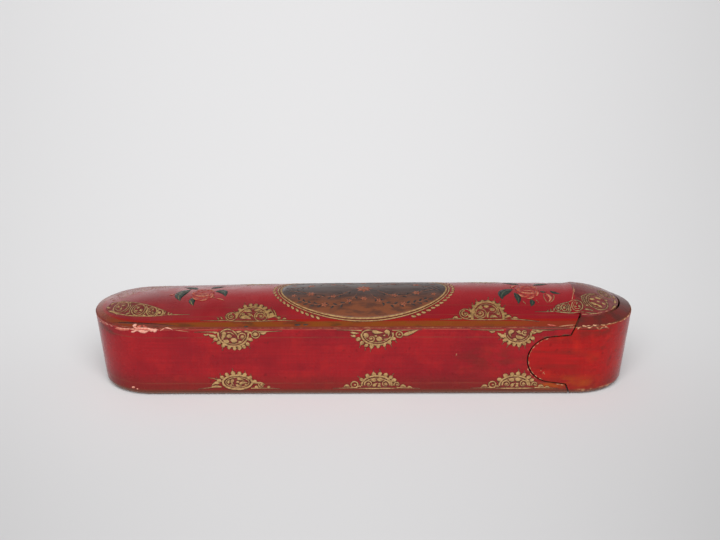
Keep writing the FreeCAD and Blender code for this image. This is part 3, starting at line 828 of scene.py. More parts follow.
def medallionMotif(lap, reach, draw):
    marks = [
        stroke(turn(lap, reach, 0, 364), 0.9, evenWidth, 36),
        stroke(turn(lap, (4.7, 2.3), 0, 364), 0.34, evenWidth, 30),
        comma((-1.4, 3.9), (-3.2, 2.8), (-1.4, 1.2), 1.5), comma((-0.2, 4.1), (1.4, 4.4), (2.9, 3.2), 1.3),
        comma((0.7, 1.6), (2.4, 3.0), (4.3, 2.3), 1.4), comma((-0.8, 1.5), (0.4, 0.8), (1.9, 1.0), 1.1),
        comma((-3.6, 2.0), (-3.9, 3.2), (-2.9, 3.7), 1.1), dot(0.1, 2.7, 1.2), dot(3.4, 1.5, 0.9),
        dot(-2.6, 1.3, 0.8),
        comma((-7.2, 2.2), (-9.2, 2.9), (-10.4, 1.0), 1.5), leaf((-6.8, 0.7), (-9.0, 1.0), (-11.2, 0.2), 0.9),
        thread((6.7, 1.9), (9.2, 3.2), (11.1, 1.4), 0.6), dot(7.6, 0.4, 1.3), dot(12.6, 0.4, 1.1),
        tail((-6.5, 0.5), (-11.0, 0.3), (-16.0, -0.5), 0.5),
        tail((5.4, -0.2), (11.0, 0.0), (17.0, -0.4), 0.5),
        tail((-8.4, 3.8), (-9.4, 4.6), (-11.6, 4.7), 0.3),
    ]
    marks += curl((9.6, 1.3), 1.2, 120, 400, 0.6)
    spots = (
        (-7.6, 3.5), (-6.3, 5.1), (-4.3, 6.4), (-1.7, 7.1),
        (0.9, 6.9), (3.1, 6.2), (5.2, 4.9), (7.1, 3.0),
    )
    return marks + beadsOn(spots, 1.6, draw)


def scrollMotif(lap, reach, draw):
    marks = [
        stroke(turn(lap, reach, 186, -12), 0.8, evenWidth, 28),
        stroke(turn(lap, (5.3, 3.6), 170, 10), 0.32, evenWidth, 22),
        thread((-6.1, 2.3), (-5.6, -0.2), (-1.7, 0.2), 0.6), dot(-4.3, 2.5, 2.1, 40),
        comma((-1.9, 0.6), (0.2, 1.5), (2.6, 1.2), 1.8), dot(1.0, 4.2, 2.3, 10),
        thread((2.5, 4.2), (4.4, 4.6), (6.0, 3.2), 0.6),
        comma((3.0, 0.8), (5.4, 0.8), (4.6, 2.9), 2.1), dot(-0.4, 2.9, 1.0),
        leaf((2.4, 2.4), (3.2, 3.0), (3.4, 2.0), 0.8),
        ring(9.0, 2.2, 1.3, 0.55), dot(9.0, 2.2, 0.9), leaf((10.3, 2.6), (12.6, 1.8), (16.5, 0.1), 1.7),
        leaf((-10.6, 1.0), (-9.0, 1.8), (-7.0, 1.5), 1.0), comma((-8.4, 2.6), (-9.4, 3.2), (-10.6, 2.4), 1.2),
        tail((-6.0, 0.4), (-10.0, 0.2), (-16.0, 0.0), 0.5), tail((6.2, 0.3), (11.0, 0.2), (18.0, 0.0), 0.5),
    ]
    marks += curl((-2.2, 4.0), 1.5, 120, -420, 0.75)
    spots = (
        (-7.6, 4.4), (-6.1, 6.2), (-4.3, 7.4), (-2.1, 7.9),
        (0.6, 7.8), (3.1, 7.1), (5.3, 6.0), (6.9, 4.2),
    )
    return marks + beadsOn(spots, 1.55, draw)


def twinMotif(lap, reach, draw):
    marks = [
        stroke(turn(lap, reach, 184, -4), 0.8, evenWidth, 28),
        stroke(turn(lap, (5.1, 3.3), 172, 8), 0.32, evenWidth, 22),
        dot(-1.4, 3.8, 1.9), dot(1.1, 4.0, 2.1), comma((-1.5, 0.7), (-1.2, 1.8), (0.2, 2.4), 1.6),
        leaf((0.2, 0.6), (0.9, 1.6), (1.5, 0.5), 1.0), dot(0.9, 2.0, 1.0), ring(-9.2, 1.7, 1.4, 0.55),
        dot(-9.0, 1.6, 0.8),
        leaf((-11.2, 0.8), (-12.4, 1.9), (-13.6, 0.5), 1.1), leaf((9.4, 0.6), (10.4, 1.8), (11.8, 0.5), 1.2),
        leaf((-6.6, 0.5), (-7.2, 1.4), (-7.9, 0.6), 0.8), leaf((12.2, 0.4), (13.2, 1.0), (14.2, 0.2), 0.7),
        thread((-8.0, 0.0), (0.0, -0.2), (8.0, 0.0), 0.55),
        tail((-8.0, 0.2), (-12.0, 0.2), (-18.0, 0.0), 0.5), tail((8.0, 0.2), (12.0, 0.2), (17.5, -0.2), 0.5),
    ]
    marks += curl((-3.5, 2.0), 1.75, 200, -420, 0.75) + curl((3.4, 2.0), 1.85, -20, 420, 0.75)
    marks += curl((8.0, 1.7), 1.25, 200, -400, 0.6)
    spots = ((-6.5, 4.1), (-4.1, 6.0), (-1.4, 6.6), (1.1, 6.9), (3.5, 6.3), (5.6, 5.2), (6.9, 3.8))
    return marks + beadsOn(spots, 1.65, draw)


def sideMotif(lap, reach, draw):
    marks = [
        stroke(turn(lap, reach, 186, -10), 0.8, evenWidth, 26),
        stroke(turn(lap, (4.3, 3.3), 170, 12), 0.32, evenWidth, 20),
        comma((-1.6, 0.6), (-4.4, 1.2), (-2.6, 3.4), 2.0), leaf((-0.8, 2.6), (0.8, 4.6), (2.8, 3.4), 1.8),
        thread((-0.8, 0.6), (0.8, 2.4), (2.0, 1.6), 0.6), dot(-1.2, 4.6, 1.5), dot(0.4, 1.0, 1.1),
        leaf((5.2, 0.6), (6.4, 2.2), (7.4, 1.0), 1.3), leaf((7.2, 0.6), (8.4, 1.6), (9.8, 0.6), 1.1),
        comma((-6.4, 2.4), (-7.6, 2.6), (-8.2, 1.2), 1.3), leaf((-9.2, 0.7), (-10.2, 1.6), (-11.6, 0.6), 0.9),
        tail((-5.8, 0.3), (-11.0, 0.3), (-19.0, 0.0), 0.5), tail((5.6, 0.3), (10.0, 0.4), (14.5, 0.4), 0.5),
    ]
    marks += curl((2.7, 1.4), 1.3, 60, 400, 0.7)
    spots = (
        (-6.2, 3.2), (-5.2, 5.0), (-3.4, 6.3), (-1.4, 7.0),
        (0.7, 7.3), (2.8, 6.8), (4.6, 5.7), (6.1, 4.2),
    )
    return marks + beadsOn(spots, 1.5, draw)


flankPlaces = (
    {"motif": berryMotif, "along": -52.1, "height": 29.9,
     "flip": -1, "lap": (-0.1, 1.6), "reach": (6.0, 5.6)},
    {"motif": scrollMotif, "along": 5.0, "height": 30.1, "flip": -1, "lap": (0.2, 2.2), "reach": (6.3, 4.6)},
    {"motif": sideMotif, "along": 61.3, "height": 30.1, "flip": -1, "lap": (0.0, 2.0), "reach": (5.2, 4.2)},
    {"motif": medallionMotif, "along": -51.2, "height": 3.6,
     "flip": 1, "lap": (0.0, 2.6), "reach": (5.9, 3.2)},
    {"motif": twinMotif, "along": 5.3, "height": 3.3, "flip": 1, "lap": (-0.2, 1.4), "reach": (6.1, 4.3)},
    {"motif": twinMotif, "along": 61.1, "height": 3.2, "flip": 1, "lap": (-0.2, 1.4), "reach": (6.1, 4.3)},
)


def flankOrnament():
    marks, fills = [], []
    for seed, place in enumerate(flankPlaces):
        drawn = place["motif"](place["lap"], place["reach"], random.Random(seed))
        shift = (place["along"], place["height"])
        marks += moved(drawn, shift, place["flip"])
        fills += moved(hatch(place["lap"], place["reach"]), shift, place["flip"])
    return marks, fills


for layName in ("front", "back"):
    marks, fills = flankOrnament()
    gild("gold_flank_scrolls_" + layName, marks, ["outer_sleeve"], layName, fills=fills)
print("gold scrolls on both flanks")


# gold arches that stand on the ochre band of the dome, v up the dome

def lowArch(lap, reach, draw):
    marks = [
        stroke(turn(lap, reach, 176, 4), 0.9, evenWidth, 26),
        stroke(turn(lap, (5.5, 5.9), 168, 10), 0.34, evenWidth, 22),
        stroke(turn(lap, (8.6, 8.6), 40, 4), 0.42, lineWidth, 14),
        stroke(turn(lap, (9.5, 9.5), 34, 2), 0.42, lineWidth, 14),
        leaf((-7.6, 2.8), (-6.8, 5.4), (-5.3, 4.0), 1.5), leaf((-4.2, 5.2), (-2.4, 6.6), (-0.9, 4.6), 2.2),
        leaf((-5.6, 1.4), (-3.4, 3.2), (-1.0, 0.9), 2.3), dot(-4.3, 3.6, 1.3),
        thread((-3.0, 3.6), (-1.0, 4.4), (-0.2, 1.6), 0.5),
        dot(1.2, 5.9, 1.6, 20, 1.6), dot(-1.6, 3.0, 1.1), ring(2.8, 2.5, 2.6, 0.4),
        leaf((5.6, 1.2), (7.2, 3.8), (9.0, 2.0), 1.9), dot(10.0, 1.6, 1.3), ring(-9.1, 2.5, 2.1, 0.4),
        leaf((-12.6, 0.9), (-12.8, 1.9), (-13.6, 2.3), 0.6),
        leaf((-13.9, 0.8), (-14.1, 1.6), (-14.8, 2.0), 0.55),
        leaf((11.4, 0.6), (12.2, 1.6), (13.2, 0.7), 0.8), thread((-11.0, 0.2), (0.0, -0.3), (9.5, 0.2), 0.4),
        tail((-10.5, 0.5), (-15.0, 0.3), (-21.4, 0.4), 0.5), tail((9.5, 0.3), (13.0, 0.1), (17.0, -0.1), 0.5),
    ]
    marks += curl((-9.1, 2.5), 1.5, 80, 420, 0.8) + curl((2.8, 2.5), 1.9, 200, -420, 0.85)
    spots = (
        (-7.2, 4.2), (-5.8, 6.4), (-3.9, 8.6), (-1.7, 9.5), (0.6, 9.3),
        (2.7, 8.5), (4.4, 7.2), (6.0, 5.4), (7.2, 3.4),
    )
    return marks + beadsOn(spots, 1.55, draw)


def highArch(lap, reach, draw):
    marks = [
        stroke(turn(lap, reach, 186, -6), 1.2, evenWidth, 30),
        stroke(turn(lap, (5.0, 7.2), 176, 4), 0.34, evenWidth, 24),
        ring(-2.1, 3.0, 2.4, 0.42), dot(2.9, 5.0, 2.0),
        stroke(turn((2.7, 5.0), (1.9, 1.9), -75, 75), 0.42, lineWidth, 10),
        stroke(turn((2.7, 5.0), (2.6, 2.6), -60, 60), 0.42, lineWidth, 10),
        leaf((1.0, 0.6), (0.4, 2.4), (1.8, 4.0), 0.9),
        leaf((1.7, 0.8), (3.2, 2.4), (4.8, 0.8), 1.5), dot(0.6, 6.7, 1.8), dot(-1.7, 6.2, 1.5),
        dot(5.1, 2.7, 1.1),
        ring(-8.0, 2.8, 2.3, 0.42), leaf((7.8, 0.6), (9.0, 2.6), (10.4, 0.9), 1.3),
        leaf((10.8, 0.5), (11.7, 1.5), (13.0, 0.3), 0.9),
        leaf((-11.0, 0.6), (-12.0, 1.8), (-13.2, 0.5), 0.9),
        thread((-9.0, 0.2), (0.0, -0.3), (10.0, 0.2), 0.4),
        tail((-9.5, 0.4), (-13.0, 0.3), (-18.3, 0.0), 0.5), tail((10.0, 0.3), (15.0, 0.0), (21.4, -0.9), 0.5),
    ]
    marks += curl((-2.1, 3.0), 1.7, 210, 420, 0.8) + curl((-8.0, 2.8), 1.6, 100, 420, 0.8)
    spots = (
        (-6.3, 1.8), (-5.8, 4.6), (-4.6, 7.0), (-2.9, 8.9), (-0.7, 10.1), (1.6, 10.4), (3.9, 9.6),
        (5.8, 8.0), (7.2, 5.6),
        (8.0, 2.8),
    )
    return marks + beadsOn(spots, 1.5, draw)


domePlaces = (
    {"motif": lowArch, "along": -44.1, "foot": 20.7, "lap": (-0.5, 0.8), "reach": (6.6, 7.0)},
    {"motif": highArch, "along": 48.6, "foot": 20.5, "lap": (0.9, 0.9), "reach": (6.3, 8.6)},
)


def domeArches():
    marks, fills = [], []
    for seed, place in enumerate(domePlaces):
        for side in (-1, 1):
            drawn = place["motif"](place["lap"], place["reach"], random.Random(seed))
            shift = (place["along"], side * place["foot"])
            marks += moved(drawn, shift, -side)
            fills += moved(hatch(place["lap"], place["reach"]), shift, -side)
    return marks, fills


marks, fills = domeArches()
# the dome's arches take the darker gold, painted shade
gild("gold_dome_arches", marks, ["outer_sleeve"], "top", "domeGoldWithPaintedShade", fills)
print("gold arches on the dome")


# gold crescent of roundels inside each round end, drawn for the front half

def roundel(u, v, reach, first=30.0):
    def at(share, angle):
        return spotOn((u, v), (reach[0] * share, reach[1] * share), angle)
    marks = [stroke(turn((u, v), reach, 0, 366), 0.45, evenWidth, 24)]
    if reach[0] < 1.4:
        return marks + [dot(u, v, reach[0] * 1.1, 90, 1.4)]
    inner = (reach[0] * 0.66, reach[1] * 0.66)
    marks.append(stroke(turn((u, v), inner, first, first + 300), 0.3, lineWidth, 20))
    for angle in (first, first + 120, first + 240):
        marks.append(comma(at(0.42, angle), at(0.5, angle + 45), at(0.12, angle + 80), reach[0] * 0.42))
    return marks


def hugging(u, v, reach, share, middle, spread=56):  # an arc that hugs a roundel on one side
    wide = (reach[0] * share, reach[1] * share)
    return stroke(turn((u, v), wide, middle - spread, middle + spread), 0.4, leafWidth, 12)


crescentRows = (0.1, 0.26, 0.42, 0.58, 0.74, 0.9)
crescentLow = bow((-104.4, -6.6), (-97.5, -19.2), (-78.6, -16.6))
crescentHigh = bow((-103.6, -0.6), (-95.0, -4.0), (-79.2, -14.6))
closedRoundels = (
    (-98.7, -7.5, (3.1, 4.3), 10), (-91.0, -12.0, (2.7, 3.9), 70), (-85.4, -13.9, (2.0, 3.0), 40),
    (-82.2, -14.9, (1.2, 2.0), 0),
)


def crescentWidth(t):  # the rows narrow to the tip
    return 1 - 0.75 * t


def crescentFill():
    fills = []
    for row in crescentRows:
        def path(t, row=row):
            return tuple(low + (high - low) * row for low, high in zip(crescentLow(t), crescentHigh(t)))
        fills.append(stroke(path, 2.4, crescentWidth, 20))
    return fills


def closedCrescent():
    marks = [stroke(crescentLow, 0.5, lineWidth, 24), stroke(crescentHigh, 0.4, lineWidth, 24)]
    for u, v, reach, first in closedRoundels:
        marks += roundel(u, v, reach, first)
        marks.append(hugging(u, v, reach, 1.3, -10))
    return marks + [
        hugging(-91.0, -12.0, (2.7, 3.9), 1.3, 170, 44), hugging(-98.7, -7.5, (3.1, 4.3), 1.28, 100, 40),
        leaf((-104.6, -3.6), (-104.6, -5.6), (-102.9, -6.0), 1.1),
        leaf((-102.9, -3.2), (-103.8, -1.6), (-101.4, -1.6), 1.0),
        leaf((-103.4, -8.4), (-102.2, -9.6), (-100.6, -11.4), 1.2), dot(-95.1, -13.9, 1.3, 30),
        dot(-88.2, -16.4, 1.0),
        dot(-95.2, -5.4, 0.9), dot(-88.0, -10.6, 0.8), dot(-99.6, -12.6, 0.9),
        leaf((-80.4, -16.5), (-79.9, -15.4), (-79.9, -14.2), 0.5),
        leaf((-78.8, -16.5), (-78.4, -15.6), (-78.4, -14.8), 0.5),
        dot(-77.4, -15.9, 0.7), tail((-78.6, -16.5), (-75.0, -16.6), (-69.8, -16.7), 0.5),
    ]


def tipCrescent():  # the crescent of the drawer's end runs over the break on to the tongue
    marks = roundel(78.2, -14.4, (1.0, 1.5)) + roundel(80.6, -14.2, (1.1, 1.9))
    marks += roundel(85.9, -13.4, (2.2, 3.1), 60)
    return marks + [
        thread((76.0, -16.3), (82.0, -17.4), (88.4, -17.2), 0.5),
        thread((78.0, -12.6), (81.5, -11.2), (86.0, -9.4), 0.4),
        hugging(80.6, -14.2, (1.1, 1.9), 1.6, 0), hugging(80.6, -14.2, (1.1, 1.9), 2.2, 0),
        dot(83.0, -15.6, 0.8),
        leaf((76.3, -16.1), (76.3, -15.2), (76.6, -14.2), 0.5),
        leaf((75.0, -16.3), (75.0, -15.7), (75.2, -15.0), 0.45),
        leaf((73.8, -16.4), (73.8, -16.0), (74.0, -15.5), 0.4),
        tail((76.0, -16.4), (73.0, -16.6), (68.5, -16.7), 0.45),
    ]


def tongueCrescent():
    disc = (94.4, -9.3)
    marks = [
        stroke(turn(disc, (4.4, 5.2), 0, 366), 0.5, evenWidth, 30),
        stroke(turn(disc, (3.5, 4.2), 100, 300), 0.3, lineWidth, 24),
    ]
    marks += roundel(98.9, 0.4, (2.6, 3.2), 50)
    return marks + [
        hugging(*disc, (4.4, 5.2), 1.2, 190, 44), hugging(*disc, (4.4, 5.2), 1.38, 190, 36),
        thread((88.6, -17.2), (93.4, -18.0), (98.0, -15.2), 0.5),
        thread((87.4, -8.6), (90.4, -4.0), (95.4, -2.8), 0.4),
        leaf((88.4, -15.8), (90.4, -15.0), (92.2, -16.2), 0.9), dot(90.0, -13.2, 0.9), dot(89.2, -10.4, 0.8),
    ]


def tongueBeads():  # the brighter touches on the tongue
    return [
        dot(92.6, -8.2, 1.6, 20, 1.4), dot(95.2, -6.4, 1.7, -10, 1.5), dot(92.9, -11.3, 1.5, 160, 1.9),
        dot(95.2, -12.0, 1.5, 150, 1.6),
        dot(97.2, -9.6, 1.4), dot(95.0, -9.2, 1.1), leaf((98.2, -14.6), (100.2, -13.4), (100.8, -11.8), 1.2),
        leaf((100.6, -11.0), (102.2, -9.4), (102.2, -7.2), 1.3),
        leaf((102.1, -6.0), (103.2, -4.0), (102.8, -1.8), 1.2),
        leaf((102.8, -0.8), (103.3, 1.0), (102.6, 2.8), 1.1), dot(98.7, -6.2, 1.0),
    ]


def backHalf(strokes):
    return moved(strokes, (0, 0), -1)


gild("gold_crescent_closed_end", closedCrescent(), ["outer_sleeve"], "top", fills=crescentFill())
gild("gold_crescent_tongue", tongueCrescent(), ["sleeve_tongue"], "top", "wornGold")
gild("gold_beads_tongue", tongueBeads(), ["sleeve_tongue"], "top")
# the back halves have worn away more
for label, marks, targets in (
    ("closed_end", closedCrescent(), ["outer_sleeve"]), ("tongue", tongueCrescent(), ["sleeve_tongue"]),
):
    name = "worn_crescent_" + label
    paintStrokes(
        name, backHalf(marks), targets, "top", paints["fadedGold"], "sleeve", 0.0, 0.05,
    )
print("gold crescents at the ends")


# oval panel on the crest, with a ring and a border of beads

oval = {
    "reach": (33.8, 19.8),
    "rings": 20,
    "points": 120,
    "beadPitch": 2.3,
    "bareBelow": 19.6,     # no beads where the ring meets the ochre band
}


def makePanelGround():
    material, tree, shader, place = startMaterial("panelGround")
    cloud = grain(tree, place, (0.5, 1, 1), 130, 5)
    smoke = fade(tree, grain(tree, place, (0.4, 1, 1), 420, 4), 0.42, 0.66, 0.0, 0.6)
    parts = addNode(tree, "ShaderNodeSeparateXYZ")
    feed(tree, parts.inputs[0], place)
    edge = calc(tree, "MULTIPLY_ADD", cloud, 12 * mm, parts.outputs[1])
    low = fade(tree, edge, -8 * mm, 4 * mm, 1.0, 0.0)
    colour = blendColour(tree, low, paint(74, 58, 54), paint(112, 64, 42))
    colour = blendColour(tree, smoke, colour, paint(54, 42, 40))
    feed(tree, shader.inputs["Base Color"], colour)
    feed(tree, shader.inputs["Roughness"], fade(tree, cloud, 0.3, 0.7, 0.3, 0.44))
    shader.inputs["Specular IOR Level"].default_value = 0.22
    return material


def ovalDisc(name, reach):
    bpy.ops.object.select_all(action="DESELECT")
    bpy.ops.mesh.primitive_circle_add(
        vertices=oval["points"], radius=1, fill_type="NOTHING", location=(0, 0, 0),
    )
    piece = bpy.context.object
    piece.name = name
    piece.data.name = name
    piece.scale = (reach[0] * mm, reach[1] * mm, 1)
    bpy.ops.object.transform_apply(location=True, rotation=True, scale=True)
    bpy.ops.object.mode_set(mode="EDIT")
    bpy.ops.mesh.select_all(action="SELECT")
    for step in range(oval["rings"], 1, -1):
        shrink = (step - 1) / step
        bpy.ops.mesh.extrude_edges_move()
        bpy.ops.transform.resize(value=(shrink, shrink, 1))
    bpy.ops.mesh.edge_face_add()
    bpy.ops.object.mode_set(mode="OBJECT")
    return piece


def panelGround():
    piece = ovalDisc("oval_ground", oval["reach"])
    wall = piece.modifiers.new("film", "SOLIDIFY")
    wall.thickness = 0.06 * mm
    wall.offset = 0
    bpy.ops.object.modifier_apply(modifier=wall.name)
    for vertex in piece.data.vertices:
        vertex.co.z += 0.02 * mm
    settle(piece, ["outer_sleeve"], "top")
    finishPiece(piece, makePanelGround(), "sleeve")


def ovalRing():
    reach = oval["reach"]
    wide = (reach[0] + 2.8, reach[1] + 2.7)
    marks = [
        stroke(turn((0, 0), reach, 0, 362), 0.8, evenWidth, 140),
        stroke(turn((0, 0), (reach[0] + 1.2, reach[1] + 1.15), 0, 362), 0.5, evenWidth, 140),
    ]
    angle = 0.0
    while angle < 360:
        x, y = spotOn((0, 0), wide, angle)
        if abs(y) < oval["bareBelow"]:
            slant = math.degrees(math.atan2(y * (reach[0] / reach[1]) ** 2, x)) + 65
            marks.append(bead((x, y), 2.0, 1.15, slant))
        speed = math.hypot(wide[0] * math.sin(math.radians(angle)), wide[1] * math.cos(math.radians(angle)))
        angle += math.degrees(oval["beadPitch"] / speed)
    return marks


vines = (
    ((4.5, 0.5), (12.0, 11.0), (21.5, 4.5)), ((21.5, 4.5), (27.0, 0.6), (31.0, 1.4)),
    ((2.6, 4.6), (7.0, 15.0), (16.0, 12.4)), ((16.0, 12.4), (22.5, 12.4), (27.0, 8.4)),
)
blossoms = (
    (0, 0, 3.6, 8), (21.5, 4.5, 1.9, 6), (12.4, 6.6, 1.5, 5), (16.0, 12.4, 1.6, 5), (28.4, 5.6, 1.3, 5),
    (6.0, 10.0, 1.4, 5), (0, 8.6, 1.6, 6),
)


def fourWays(point):  # the same point in each quarter of the oval
    return [(side * point[0], flip * point[1]) for side in (-1, 1) for flip in (-1, 1)]


def leavesAlong(path, count, size):  # leaves on both sides of a stem
    marks = []
    for i in range(1, count):
        start = path(i / count)
        ahead = path(min(i / count + 0.02, 1.0))
        way = math.atan2(ahead[1] - start[1], ahead[0] - start[0]) + (0.8 if i % 2 else -0.8)
        bend = (start[0] + 0.6 * size * math.cos(way + 0.4), start[1] + 0.6 * size * math.sin(way + 0.4))
        end = (start[0] + size * math.cos(way), start[1] + size * math.sin(way))
        marks.append(leaf(start, bend, end, size * 0.4))
    return marks


def ovalVines():
    stems, leaves = [], []
    for ends in vines:
        for start, bend, end in zip(*(fourWays(point) for point in ends)):
            stems.append(thread(start, bend, end, 0.45))
            leaves += leavesAlong(bow(start, bend, end), 9, 2.4)
    return stems, leaves


def ovalBlossoms():
    petals, hearts = [], []
    for u, v, radius, count in blossoms:
        for centre in sorted(set(fourWays((u, v)))):
            hearts.append(dot(centre[0], centre[1], radius * 0.5))
            for i in range(count):
                near = spotOn(centre, (radius * 0.25, radius * 0.25), 360 * i / count)
                far = spotOn(centre, (radius, radius), 360 * i / count)
                petals.append(leaf(near, near, far, radius * 0.5))
    return petals, hearts


panelGround()
gild("gold_oval_ring", ovalRing(), ["outer_sleeve"], "top")
stems, leaves = ovalVines()
petals, hearts = ovalBlossoms()
for name, marks, finish, lift in (
    ("oval_vines", stems, "sepia", 0.06), ("oval_leaves", leaves, "slate", 0.06),
    ("oval_blossoms", petals, "salmon", 0.07), ("oval_hearts", hearts, "sepia", 0.1),
):
    paintStrokes(name, marks, ["outer_sleeve"], "top", paints[finish], "sleeve", lift, 0.03)
print("oval panel")


# rose sprays on both sides of the oval

sprays = {
    "left": {
        "bloom": (-65.8, -1.4),
        "reach": (4.9, 6.6),
        "leaves": (
            ((-71.2, 5.2), (-77.4, -0.6), (-74.6, -7.0), 4.6),
            ((-69.3, -4.4), (-70.6, -8.0), (-68.8, -11.0), 2.7),
            ((-60.9, 0.6), (-57.0, 3.2), (-56.4, -4.8), 4.2), ((-68.5, 5.0), (-71.0, 8.5), (-74.5, 9.5), 3.4),
            ((-63.0, 5.4), (-60.0, 8.5), (-57.0, 8.0), 3.2),
        ),
        "buds": (
            ((-59.9, -6.2), (-58.0, -6.6), (-56.6, -8.2), 1.5),
            ((-79.6, -1.6), (-78.6, -0.6), (-77.4, -0.2), 1.0),
        ),
        "stems": (((-77.4, -0.2), (-75.0, 1.5), (-71.5, 2.0)), ((-60.2, -6.2), (-61.5, -5.0), (-61.5, -3.5))),
        "hints": (
            ((-70.6, -6.6), (-69.9, -9.4), (-69.0, -11.2)),
            ((-76.0, -1.0), (-75.9, -4.4), (-74.6, -7.1)),
        ),
    },
    "right": {
        "bloom": (66.9, -2.3),
        "reach": (4.8, 7.0),
        "leaves": (
            ((61.2, -0.8), (55.0, -3.6), (56.1, -9.6), 4.4), ((61.2, -4.0), (63.4, -8.6), (62.2, -12.5), 2.5),
            ((67.6, -9.2), (68.6, -11.6), (67.2, -13.8), 2.2),
            ((72.0, -2.4), (73.2, -3.6), (74.7, -3.0), 1.5),
            ((76.3, -1.7), (77.4, -4.2), (80.3, -4.5), 2.0), ((64.0, 5.2), (61.0, 9.0), (57.5, 9.0), 3.4),
            ((70.0, 4.6), (73.5, 8.0), (76.5, 7.6), 3.4),
        ),
        "buds": (
            ((74.0, -4.8), (76.9, -7.4), (74.6, -11.2), 3.0),
            ((60.6, 0.6), (61.0, 3.0), (63.0, 3.6), 2.0),
        ),
        "stems": (((73.4, -4.9), (72.4, -8.0), (74.4, -11.6)), ((77.0, -5.2), (78.0, -8.6), (74.9, -11.6))),
        "hints": (
            ((64.0, -10.6), (64.8, -11.0), (65.2, -12.4)),
            ((69.4, -9.6), (70.2, -10.2), (70.6, -11.6)),
        ),
    },
}


def roseBloom(centre, reach):
    def at(share, angle):
        return spotOn(centre, (reach[0] * share, reach[1] * share), angle)
    size = sum(reach) / 2
    body, folds, glints = [], [], []
    for angle in (20, 80, 140, 200, 260, 320):  # broad outer petals
        body.append(stroke(bow(at(0.1, angle), at(0.5, angle), at(0.97, angle)), size * 0.95, roundWidth, 8))
    for angle in (215, 268, 322, 30, 95, 150):  # the turned lips of the petals
        folds.append(comma(at(0.82, angle), at(0.98, angle + 26), at(0.6, angle + 56), size * 0.34))
    for angle in (190, 250, 310, 60):
        folds.append(comma(at(0.5, angle), at(0.62, angle + 40), at(0.28, angle + 80), size * 0.22))
    for angle in (205, 258, 312, 20):  # pale edges where the light falls
        glints.append(leaf(at(0.93, angle), at(1.02, angle + 24), at(0.84, angle + 48), size * 0.1))
    glints.append(thread(at(0.7, 195), at(0.42, 262), at(0.75, 338), size * 0.14))
    glints.append(thread(at(0.35, 170), at(0.1, 260), at(0.4, 10), size * 0.1))
    return body, folds, glints


def paintSpray(side, spray):
    body, folds, glints = roseBloom(spray["bloom"], spray["reach"])
    leaves = [leaf(*one) for one in spray["leaves"]]
    veins = [leaf(a, b, c, width * 0.14) for a, b, c, width in spray["leaves"]]
    buds = [leaf(*one) for one in spray["buds"]]
    bright = [leaf(a, b, c, width * 0.4) for a, b, c, width in spray["buds"]]
    stems = [thread(a, b, c, 0.3) for a, b, c in spray["stems"] + spray["hints"]]
    layers = (
        ("leaves", leaves, "leaf", 0.03), ("veins", veins, "leafLight", 0.09),
        ("buds", buds, "petalRed", 0.05),
        ("petals", body, "petalRed", 0.08), ("inner_petals", folds, "petalOrange", 0.14),
        ("highlights", glints + bright, "petalPale", 0.17), ("stems", stems, "wornGold", 0.08),
    )
    for label, marks, finish, lift in layers:
        name = "rose_%s_%s" % (side, label)
        paintStrokes(
            name, marks, ["outer_sleeve"], "top", paints[finish], "sleeve", lift, 0.02,
        )


for side, spray in sprays.items():
    paintSpray(side, spray)
print("rose sprays")


# wear: chipped lacquer on the arris, rubbed edges along the seam and the mended break

def pieces(path, width, cuts, draw):  # a rubbed line, broken into short runs
    marks = []
    for i in range(cuts):
        first = (i + draw.uniform(0.0, 0.25)) / cuts
        last = (i + draw.uniform(0.7, 1.0)) / cuts

        def run(t, first=first, last=last):
            return path(first + (last - first) * t)
        marks.append(stroke(run, width * draw.uniform(0.6, 1.15), leafWidth, 8))
    return marks


def breakLine(t):  # along the mended break, from front to back
    y = -17.8 + 35.6 * t
    return (breakAt(y) - 1.4, y)


def tongueEdge(t):  # along the front edge of the tongue, from its tip to the break
    angle = math.radians(12 + 78 * t)
    return (boxForm["spine"] + 18.4 * math.cos(angle), -18.6 * math.sin(angle))


